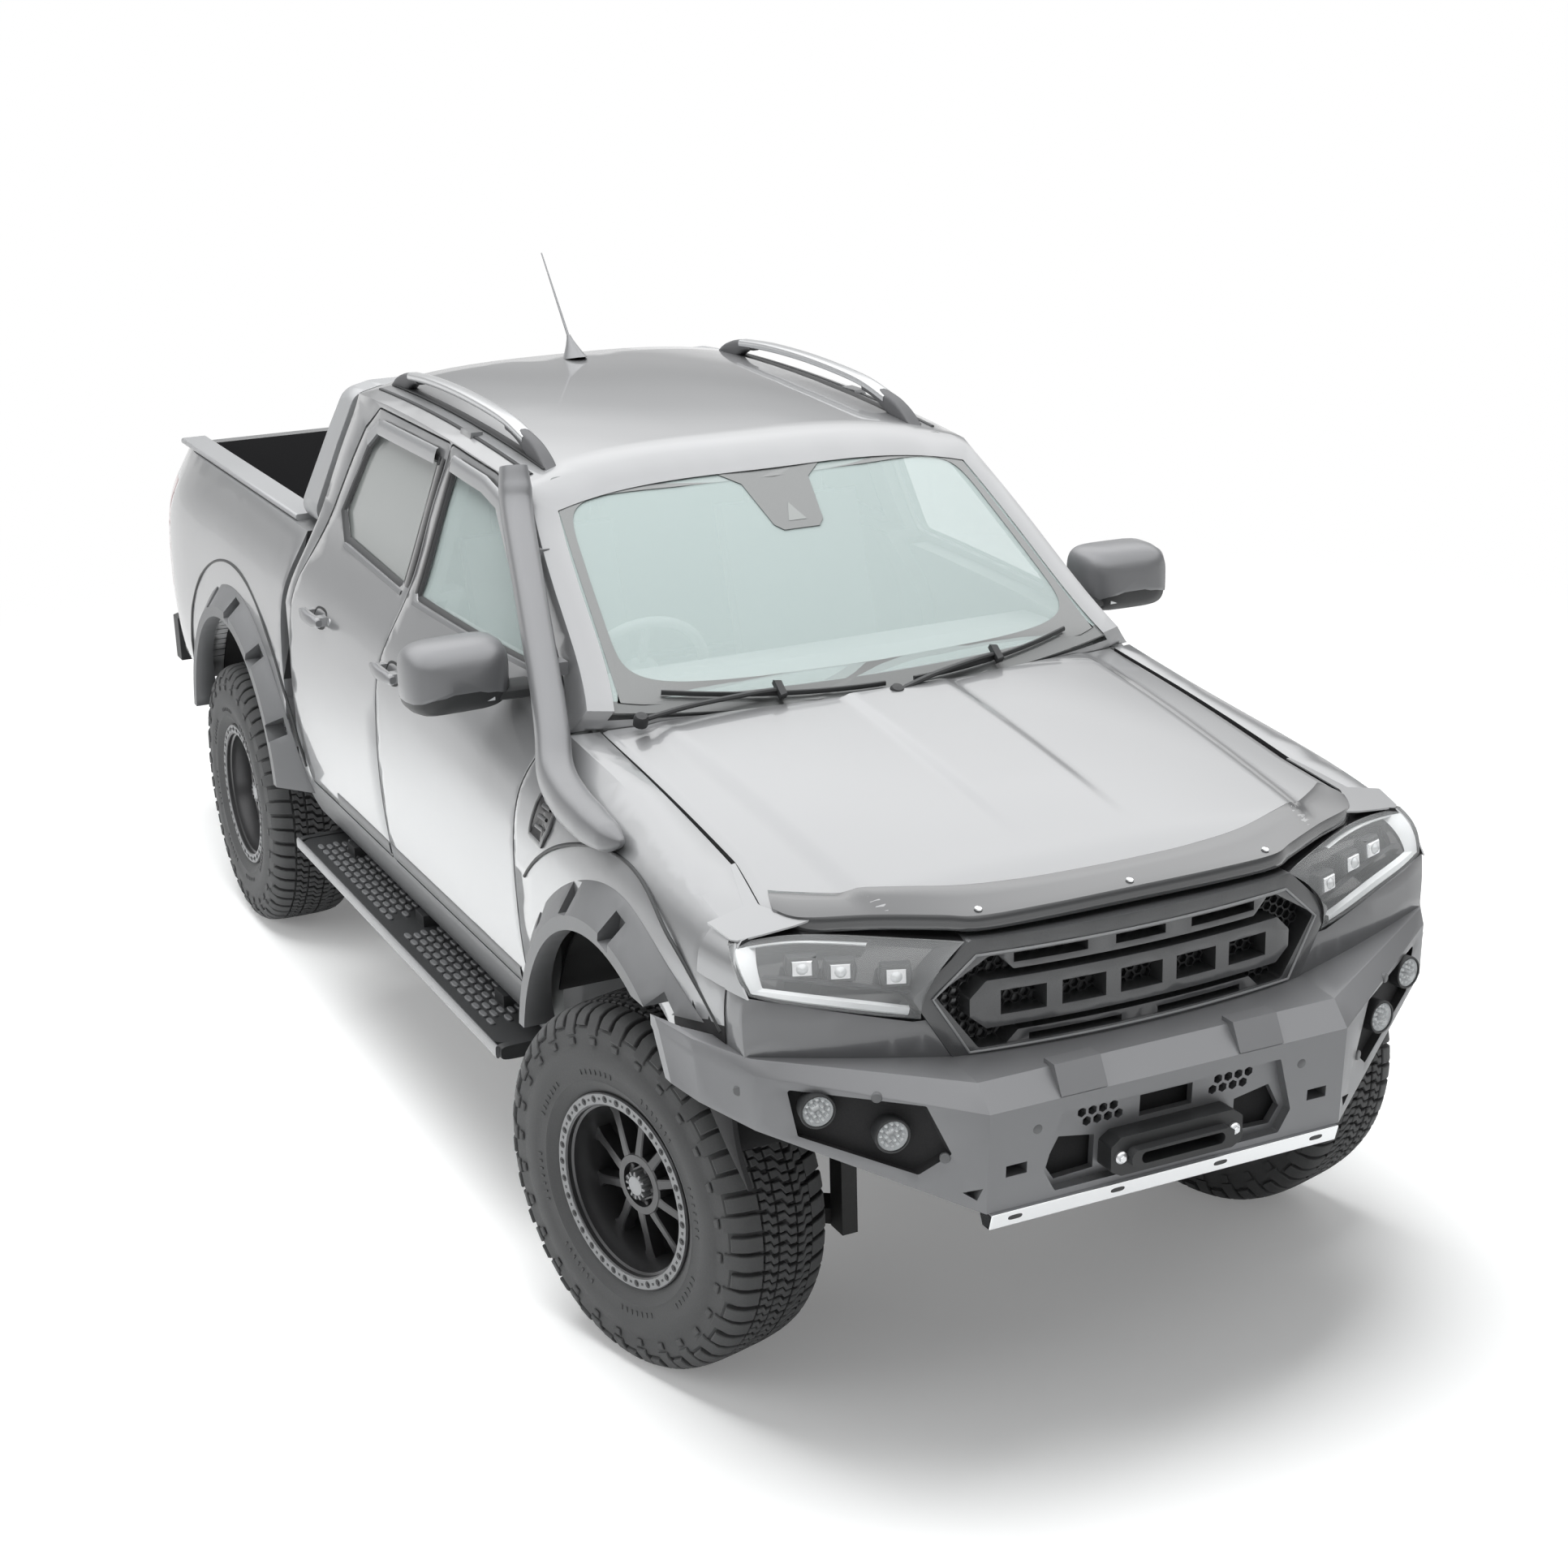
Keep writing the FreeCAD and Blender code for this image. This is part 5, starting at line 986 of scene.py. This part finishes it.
def grille_net():
    """Hexagonal lattice behind the grille bars, and the bright line inside the grille's edge."""
    shape = Shape()
    radius = 13
    corners = [(cos(turn), sin(turn)) for turn in turns(6)]
    for row in range(-11, 12):
        for column in range(-24, 25):
            y = column * radius * 1.5
            z = 1045 + row * radius * 1.732 + (radius * 0.866 if column % 2 else 0)
            half = between(((915, 415), (1074, 505), (1180, 385)), z)
            if abs(y) > half - 16 or z < 925 or z > 1172:
                continue
            loops = [[at(nose_front(y) - sink, y + radius * size * c, z + radius * size * s)
                      for c, s in corners] for size, sink in ((0.99, 56), (0.99, 46), (0.8, 46), (0.8, 56))]
            skin_loops(shape, loops, BLACK, caps=False)
    inner = grown([(399, 1186), (523, 1074), (421, 904), (-421, 904), (-523, 1074), (-399, 1186)], -34)
    path = [at(nose_front(y) + 1.5, y, z) for y, z in dense(inner, 30)]
    path.append(path[0])
    swept(shape, path, (0.003, 0.003), SILVER_PAINT, AHEAD, 8, 2)
    finish_piece(shape, "grille_net", smooth=30)


# Suspension dressing

def coil_pieces():
    """Coil springs over dampers inside the front arches, and a plate under the nose."""
    shape = Shape()
    for side in SIDES:
        path = []
        for i in range(181):
            turn = 7 * FULL_TURN * i / 180
            path.append(at(-10 + 44 * cos(turn), (475 + 44 * sin(turn)) * side, 500 + 330 * i / 180))
        wire(shape, path, 0.0075, STEEL)
        damper = [(0.0001, 0), (0.027, 0), (0.029, 0.006), (0.029, 0.21), (0.012, 0.215), (0.012, 0.4),
                  (0.0001, 0.4)]
        cup = [(0.0001, 0), (0.054, 0), (0.058, 0.004), (0.054, 0.01), (0.0001, 0.01)]
        for profile, count, z in ((damper, 28, 455), (cup, 32, 494), (cup, 32, 834)):
            lathe(shape, profile, STEEL, count, facing(at(-10, 475 * side, z), UP, ACROSS))
    rows = [[at(846 - 380 * i / 12, -318 + 636 * j / 16,
                640 - 40 * sin(pi * i / 24) + (3 if j % 4 == 0 else 0))
             for j in range(17)] for i in range(13)]
    sheet(shape, rows, FRAME, UP * 0.004)
    finish_piece(shape, "spring_and_plate")


# Load bed and tailgate

def bed_pieces():
    """Liner ribs inside the load bed."""
    shape = Shape()
    for i in range(13):
        rib(shape, [at(x, -480 + 80 * i, 961) for x in (-2680, -4140)], ACROSS, UP, 0.022, 0.007, MATT)
    for side in SIDES:
        for i in range(10):
            ends = [at(-2720 - 155 * i, 698 * side, z) for z in (1215, 1405)]
            rib(shape, ends, AHEAD, ACROSS, 0.03, 0.008, MATT)
    finish_piece(shape, "bed_liner_ribs")


def tailgate_pieces():
    """Handle recess and pressed lines of the tailgate."""
    shape = Shape()
    gate = nodes["tailgate"]
    face = (min((gate.matrix_world @ Vector(corner)).x for corner in gate.bound_box) - AXLE_X) * 1000 - 0.5
    pad = facing(at(face, 0, 1310), -AHEAD)
    slab(shape, pointed(0.15, 0.045, 0.165), -0.001, 0.006, GLOSS, pad, 0.004)
    slab(shape, tapered(0.11, -0.014, 0.118, 0.01), 0.004, 0.018, SNORKEL, pad, 0.005)
    for z in (1180, 1010):
        rib(shape, [at(face, y, z) for y in (-640, -630, 630, 640)], AHEAD, UP, 0.004, 0.01, PAINT, 2)
    finish_piece(shape, "tailgate_trim", body="tailgate")


# Cabin

def cushion(name, centre, half, turn):
    """Crowned upholstered cushion with piping grooves."""
    shape = Shape()
    count = 20
    steps = [-1 + 2 * k / count for k in range(count + 1)]
    for sign in SIDES:
        rows = []
        for u in steps:
            row = []
            for v in steps:
                edge = max(abs(u), abs(v))
                crown = (1 - abs(u) ** 4) * (1 - abs(v) ** 4)
                groove = 0.1 * exp(-((abs(v) - 0.62) / 0.05) ** 2) + 0.05 * exp(-((u - 0.1) / 0.04) ** 2)
                high = sign * (0.45 + 0.55 * crown - (groove if sign > 0 else 0) * (1 - edge ** 6))
                shrink = 1 - 0.05 * edge ** 3 * (1 - crown)
                row.append(Vector((half[0] * u * shrink, half[1] * v * shrink, half[2] * high)))
            rows.append(row)
        sheet(shape, rows, CLOTH)
    steps.pop()
    ring = [(t, -1) for t in steps] + [(1, t) for t in steps]
    ring += [(-a, -b) for a, b in ring]
    loops = []
    for z in (-0.45, -0.2, 0.2, 0.45):
        bulge = 0.95 + 0.035 * (1 - (z / 0.45) ** 2)
        loops.append([Vector((half[0] * u * bulge, half[1] * v * bulge, half[2] * z)) for u, v in ring])
    skin_loops(shape, loops, CLOTH, caps=False)
    place = Matrix.Translation(centre) @ Matrix.Rotation(turn, 4, "Y")
    finish_piece(shape, name, ["seats"], smooth=70, place=place)


def seat_pieces():
    for label, x, y0, y1, rake in (("front_left", -1080, 160, 620, 150),
                                   ("front_right", -1080, -620, -160, 150),
                                   ("bench_left", -1690, 10, 620, 90), ("bench_right", -1690, -620, -10, 90)):
        middle = (y0 + y1) / 2
        half = (y1 - y0) / 2000
        lean = atan2(rake + 10, 520)
        cushion("seat_base_" + label, at(x - 215, middle, 985), (0.235, half, 0.062), radians(-3))
        cushion("seat_back_" + label, at(x - 480 - rake / 2, middle, 1300), (0.29, half, 0.062),
                -pi / 2 - lean)
        cushion("seat_head_" + label, at(x - 505 - rake, middle, 1655), (0.085, 0.125, 0.042), -pi / 2 - 0.12)
    shape = Shape()
    for x, y0, y1, rake, apart in ((-1080, 200, 580, 150, 45), (-1080, -580, -200, 150, 45),
                                   (-1690, -600, 600, 90, 270)):
        block(shape, at(x - 470, y0, 686), at(x - 40, y1, 930), TRIM)
        for y in ((y0 + y1) / 2 - apart, (y0 + y1) / 2 + apart):
            wire(shape, [at(x - 490 - rake, y, 1530), at(x - 500 - rake, y, 1640)], 0.006, SILVER)
    finish_piece(shape, "seat_frames", ["seats"], smooth=30, bevel=0.006)


# Paint by place

def paint(node_name, material, test):
    """Gives a second finish to the faces whose middle passes a test."""
    node = nodes[node_name]
    names = [m.name for m in node.data.materials]
    if material.name not in names:
        node.data.materials.append(material)
        names.append(material.name)
    for face in node.data.polygons:
        centre = node.matrix_world @ face.center
        normal = (node.matrix_world.to_3x3() @ face.normal).normalized()
        if test((centre.x - AXLE_X) * 1000, centre.y * 1000, centre.z * 1000, normal):
            face.material_index = names.index(material.name)


def inside_lamp_recess(y, z):
    low = between(((508, 779), (565, 729), (776, 812), (800, 900)), y)
    high = between(((508, 779), (554, 888), (795, 918)), y)
    return 506 < y < 797 and low - 3 < z < high + 3


def paint_regions():
    paint("front_bumper", MATT,
          lambda x, y, z, n: inside_lamp_recess(abs(y), z) and x < bumper_x(y, z) - 6)
    paint("load_bed", MATT, lambda x, y, z, n: abs(y) < 712 and 955 < z < 1436)
    paint("load_bed", MATT, lambda x, y, z, n: abs(y) < 790 and n.z < -0.5)
    paint("tailgate", MATT, lambda x, y, z, n: n.x > 0.6)
    paint("cab_shell", TRIM,
          lambda x, y, z, n: -2535 < x < -520 and 676 < z < 1890 and abs(y) < side_y(x, z) - 30
          and z < roof_z(x, y) - 25 and x < screen_x(y, z) - 12)
    paint("cab_shell", MATT, lambda x, y, z, n: n.z < -0.7 and z < 700)
    paint("cab_shell", FLARE, lambda x, y, z, n: n.y * y > 0 and abs(n.y) > 0.3 and z < 702)
    paint("front_wings", MATT, lambda x, y, z, n: n.y * y < 0 or n.z < -0.5 or (z < 1030 and x > 380))
    for name in ("door_front_left", "door_front_right", "door_rear_left", "door_rear_right"):
        paint(name, TRIM, lambda x, y, z, n: abs(y) < side_y(x, z) - 26)


paint_regions()
bonnet_sheet()
guard_strip()
headlamp_pieces()
screen_dressing()
cowl_panel()
wiper_pieces()
roof_rail_pieces()
roof_strips_and_rail_shadows()
antenna_piece()
snorkel_piece()
for side, name in NAMED_SIDES:
    mirror_piece(side, name)
    for door in DOORS:
        door_pieces(door, side, name)
flare_pieces()
step_pieces()
bumper_fittings()
grille_net()
seat_pieces()
coil_pieces()
bed_pieces()
tailgate_pieces()


# Wheels, metres from the wheel's centre with its axle along Y

TREAD = ((0, 0.437), (0.05, 0.4366), (0.085, 0.4345), (0.108, 0.429), (0.126, 0.417), (0.137, 0.398),
         (0.1415, 0.375), (0.142, 0.35))
BEAD_R = 0.2208
PITCHES = 28
GROOVE = 0.014
EDGE = 0.0022
SIPE = 0.0225  # half its width, in pitches


def tread_place(reach, depth):
    """Point of the tyre's outer section at a reach from its middle, sunk by depth."""
    side = copysign(1, reach)
    left = abs(reach)
    for (y0, r0), (y1, r1) in zip(TREAD, TREAD[1:]):
        length = hypot(y1 - y0, r1 - r0)
        if left <= length or (y1, r1) == TREAD[-1]:
            share = left / length
            y = y0 + (y1 - y0) * share + (r1 - r0) / length * depth
            return side * y, r0 + (r1 - r0) * share - (y1 - y0) / length * depth
        left -= length


def tread_block(shape, rows, depth=GROOVE):
    """Raised block; rows are (reach, turn0, turn1), with turns in pitches."""
    unit = FULL_TURN / PITCHES
    small = EDGE / TYRE_R / unit
    last = len(rows) - 1
    points = []
    for index, (reach, turn0, turn1) in enumerate(rows):
        shift = EDGE if index == 0 else -EDGE if index == last else 0
        for turn, sink, along in ((turn0, depth, 0), (turn0, EDGE, 0), (turn0 + small, 0, shift),
                                  (turn1 - small, 0, shift), (turn1, EDGE, 0), (turn1, depth, 0)):
            y, r = tread_place(reach + along, sink)
            points.append((r * sin(turn * unit), y, r * cos(turn * unit)))
    faces = quads(len(rows), 6, False)
    for k in (0, 6 * last):
        faces += [(k, k + 1, k + 4, k + 5), (k + 1, k + 2, k + 3, k + 4)]
    shape.add(points, faces, RUBBER)


def split_block(shape, rows):
    """Block divided along its middle by a thin sipe."""
    middles = [turn0 + (turn1 - turn0) * 0.5 for reach, turn0, turn1 in rows]
    tread_block(shape, [(row[0], row[1], middle - SIPE) for row, middle in zip(rows, middles)])
    tread_block(shape, [(row[0], middle + SIPE, row[2]) for row, middle in zip(rows, middles)])


def tyre_shape():
    shape = Shape()
    section = [(BEAD_R, 0.1), (BEAD_R, 0.112), (0.2405, 0.119), (0.262, 0.1355), (0.268, 0.1382),
               (0.272, 0.137), (0.3, 0.1405), (0.306, 0.142), (0.326, 0.1424), (0.331, 0.141),
               (0.345, 0.1395)]
    for reach in (0.2, 0.18, 0.16, 0.14, 0.12, 0.1, 0.075, 0.045, 0):
        section.append(tread_place(reach, GROOVE if reach < 0.15 else GROOVE * 0.4)[::-1])
    lathe(shape, section + [(r, -y) for r, y in reversed(section[:-1])], RUBBER, 112, closed=True)
    for pitch in range(PITCHES):
        for t, end, wide in ((pitch, 0.172, 0.4), (pitch + 0.5, 0.15, 0.37)):
            split_block(shape, [(reach, t + 0.02 - back, t + 0.42 - back) for reach, back in
                                ((-0.024, 0.17), (-0.006, 0.17), (0.006, 0), (0.024, 0))])
            for side in SIDES:
                start = t + (0.24 if side > 0 else 0)
                inner = ((0.03, 0.05), (0.044, 0.05), (0.052, 0.19), (0.066, 0.19))
                split_block(shape, [(side * reach, start + lean, start + lean + 0.4)
                                    for reach, lean in inner])
                outer = ((0.072, 0.24), (0.09, 0.27), (0.106, 0.29), (0.124, 0.3), (end - 0.012, 0.3),
                         (end, 0.3))
                tread_block(shape, [(side * reach, start + lean, start + lean + wide)
                                    for reach, lean in outer])
                if t == pitch:
                    tread_block(shape, [(side * (end + 0.008), start + 0.36, start + 0.64),
                                        (side * (end + 0.024), start + 0.38, start + 0.62)], 0.0035)
    for i, turn in enumerate(turns(96)):
        if i % 12 < 7:
            bar = [(radius * sin(turn + half), radius * cos(turn + half)) for radius, half in
                   ((0.2835, -0.008), (0.2955, -0.008), (0.2955, 0.008), (0.2835, 0.008))]
            slab(shape, bar, 0.1375, 0.1412, RUBBER)
    return shape


SPOKE_STATIONS = ((0.056, 0.0145, 0.03, 0.074), (0.085, 0.012, 0.028, 0.071), (0.14, 0.0105, 0.022, 0.06),
                  (0.176, 0.013, 0.018, 0.054), (0.192, 0.02, 0.014, 0.052))


def rim_shape():
    """Deep rim: barrel, ten spokes, hub with a crown cap and a bolted clamp ring."""
    shape = Shape()
    lathe(shape, [(0.2197, -0.112), (0.2197, 0.112), (0.2355, 0.1184), (0.236, 0.1215), (0.2345, 0.124),
                  (0.206, 0.124), (0.2045, 0.1225), (0.204, 0.112), (0.1985, 0.108), (0.1975, 0.09),
                  (0.193, 0.08), (0.19, 0.03), (0.188, -0.09), (0.23, -0.1178), (0.2352, -0.1184)],
          RIM_BLACK, 96, closed=True)
    lathe(shape, [(0.233, 0.1238), (0.2325, 0.1262), (0.209, 0.1262), (0.208, 0.1238)], RING_GREY, 96)
    for turn in turns(32):
        place = spun(turn, BEAD_R)
        lathe(shape, [(0.0001, 0.1266), (0.0084, 0.1266), (0.0088, 0.1262)], BLACK, 14, place)
        slab(shape, ngon(0.0046, 6), 0.1262, 0.1285, STEEL, place, 0.0007)
        slab(shape, box_outline(0.0035, 0.0028), 0.126, 0.1268, BLACK, spun(turn + pi / 32, BEAD_R))
    for turn in turns(10):
        loops = [[(-half, back, radius), (-half, face - 0.003, radius), (-half + 0.003, face, radius),
                  (half - 0.003, face, radius), (half, face - 0.003, radius), (half, back, radius)]
                 for radius, half, back, face in SPOKE_STATIONS]
        skin_loops(shape, loops, RIM_BLACK, matrix=Matrix.Rotation(turn, 4, "Y"))
    lathe(shape, [(0.03, 0.025), (0.072, 0.025), (0.074, 0.07), (0.071, 0.074), (0.054, 0.0745),
                  (0.052, 0.06), (0.03, 0.058)], RIM_BLACK, 60, closed=True)
    for turn in turns(6):
        slab(shape, ngon(0.0068, 6), 0.056, 0.072, STEEL, spun(turn + pi / 6, 0.0455), 0.0015)
    lathe(shape, [(0.0001, 0.086), (0.019, 0.0858), (0.023, 0.0845), (0.025, 0.081), (0.0255, 0.056)],
          SILVER_PAINT, 36)
    for turn in turns(12):
        slab(shape, tapered(0.004, -0.005, 0.003, 0.006), 0.056, 0.085, RING_GREY,
             spun(turn, 0.0285), 0.0015)
    return shape


def place_wheels():
    """One dressed tyre and rim on each hub, turned as the CAD wheels are."""
    tyre = tyre_shape().build("tyre_dressed", 38)
    rim = rim_shape().build("rim_dressed", 32)
    for corner, body in (("fl", "wheel_front_left"), ("fr", "wheel_front_right"), ("rl", "wheel_rear_left"),
                         ("rr", "wheel_rear_right")):
        joint = joints[body + "_spin"]
        outward = Vector(joint["axis"])
        if corner.endswith("r"):
            outward = -outward
        turn = ACROSS.rotation_difference(outward).to_matrix().to_4x4()
        if outward.y < 0:
            turn = Matrix.Rotation(atan2(-outward.x, outward.y), 4, "Z")
        for source, kind in ((tyre, "tyre"), (rim, "rim")):
            piece = put_in_scene(kind + "_detail_" + corner, source.data)
            piece.matrix_world = Matrix.Translation(joint["pos_m"]) @ turn
            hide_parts(kind + "_" + corner)
            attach(piece, body)
    bpy.data.objects.remove(tyre)
    bpy.data.objects.remove(rim)


place_wheels()


# Camera, floor and light

CAMERA_PLACE = (5077, -2865, 3186)
CAMERA_AZIMUTH = 64.599
CAMERA_HEIGHT = 18.389
CAMERA_ROLL = -1.581
FOCAL_LENGTH = 60.04
FLOOR_HALF = 60
WHITE = (1, 1, 1, 1)


def add_camera():
    """Camera at the photograph's viewing angle, from its fitted azimuth, height and roll in degrees."""
    azimuth, height, roll = radians(CAMERA_AZIMUTH), radians(CAMERA_HEIGHT), radians(CAMERA_ROLL)
    back = Vector((sin(azimuth) * cos(height), -cos(azimuth) * cos(height), sin(height)))
    right = UP.cross(back).normalized()
    up = back.cross(right)
    tilted = right * cos(roll) + up * sin(roll)
    upright = up * cos(roll) - right * sin(roll)
    data = bpy.data.cameras.new("camera")
    data.lens = FOCAL_LENGTH
    data.sensor_width = 36
    data.clip_end = 200
    camera = put_in_scene("camera", data)
    turn = Matrix((tilted, upright, back)).transposed()
    camera.matrix_world = Matrix.Translation(at(*CAMERA_PLACE)) @ turn.to_4x4()
    bpy.context.scene.camera = camera


def add_math(tree, operation, first, second):
    return add_node(tree, "Math", {0: first, 1: second}, operation=operation).outputs[0]


def seen_directly(tree):
    """Value that is 1 for camera, mirror and see-through rays, 0 for light that lands."""
    rays = add_node(tree, "LightPath").outputs
    seen = add_math(tree, "MAXIMUM", rays["Is Camera Ray"], rays["Is Glossy Ray"])
    return add_math(tree, "MAXIMUM", seen, rays["Is Transmission Ray"])


def add_floor():
    """Pale floor that fades to plain white away from the object, and keeps its shadow."""
    mesh = bpy.data.meshes.new("floor")
    mesh.from_pydata([(x, z, 0) for x, z in box_outline(FLOOR_HALF, FLOOR_HALF)], [], [(0, 1, 2, 3)])
    floor = put_in_scene("floor", mesh)
    material = new_material("studio_floor")
    tree = material.node_tree
    seen = seen_directly(tree)
    base = shader(material, "BsdfPrincipled")
    set_inputs(base, {"Base Color": (0.9, 0.91, 0.91, 1), "Roughness": 0.9, "Specular IOR Level": 0.1,
                      "Emission Color": WHITE, "Emission Strength": add_math(tree, "MULTIPLY", seen, 0.16)})
    place = add_node(tree, "TexCoord").outputs["Object"]
    radius = add_node(tree, "VectorMath", {0: place}, operation="LENGTH").outputs["Value"]
    far = add_node(tree, "MapRange", {"Value": radius, "From Min": 2.8, "From Max": 6.5},
                   interpolation_type="SMOOTHSTEP").outputs["Result"]
    white = add_node(tree, "Emission", {"Color": WHITE}).outputs["Emission"]
    mix = add_node(tree, "MixShader", {"Fac": add_math(tree, "MULTIPLY", far, seen), 1: base.outputs["BSDF"],
                                       2: white})
    set_inputs(shader(material, "OutputMaterial"), {"Surface": mix.outputs["Shader"]})
    mesh.materials.append(material)


# Height on the sky's unit sphere, and how bright the paint mirrors it there
MIRRORED_SKY = ((0, 0.42), (0.05, 0.36), (0.12, 0.2), (0.2, 0.12), (0.27, 0.16), (0.35, 0.4), (0.46, 0.76),
                (0.6, 1), (0.85, 0.86), (1, 0.7))
SKY_GAIN = 2
SKY_LIGHT = 0.38


def add_world():
    """White room; what the paint mirrors falls off in soft bands with height."""
    world = bpy.data.worlds.new("studio")
    bpy.context.scene.world = world
    world.use_nodes = True
    tree = world.node_tree
    place = add_node(tree, "TexCoord").outputs["Generated"]
    height = add_node(tree, "SeparateXYZ", {"Vector": place}).outputs["Z"]
    ramp = add_node(tree, "ValToRGB", {"Fac": height})
    ramp.color_ramp.interpolation = "EASE"
    stops = ramp.color_ramp.elements
    while len(stops) < len(MIRRORED_SKY):
        stops.new(0.5)
    for stop, (position, level) in zip(stops, MIRRORED_SKY):
        stop.position = position
        stop.color = (level, level, level, 1)
    plain = add_node(tree, "MapRange", {"Value": seen_directly(tree), "To Min": SKY_LIGHT, "To Max": 1})
    mirror = add_node(tree, "Mix", {"Factor": add_node(tree, "LightPath").outputs["Is Glossy Ray"],
                                    "A": plain.outputs["Result"],
                                    "B": add_math(tree, "MULTIPLY", ramp.outputs["Color"], SKY_GAIN)})
    set_inputs(tree.nodes["Background"], {"Color": WHITE, "Strength": mirror.outputs["Result"]})


def add_lamp(name, place, target, size, power):
    """Plain rectangular lamp aimed at a target, kept out of reflections."""
    data = bpy.data.lights.new(name, "AREA")
    data.shape = "RECTANGLE"
    data.size, data.size_y = size
    data.energy = power
    lamp = put_in_scene(name, data)
    lamp.visible_glossy = False
    aim = (Vector(target) - Vector(place)).to_track_quat("-Z", "Y").to_matrix().to_4x4()
    lamp.matrix_world = Matrix.Translation(place) @ aim


add_camera()
add_floor()
add_world()
add_lamp("overhead", (0.3, -0.6, 6), (0, 0, 0), (6.5, 4.2), 640)
add_lamp("right_side", (-1, -7.5, 3.2), (0, 0, 0.8), (8, 3.5), 210)
add_lamp("rear_left", (-6, 6, 4), (0, 0, 0.8), (6, 4), 160)
bpy.context.scene.view_settings.view_transform = "Standard"
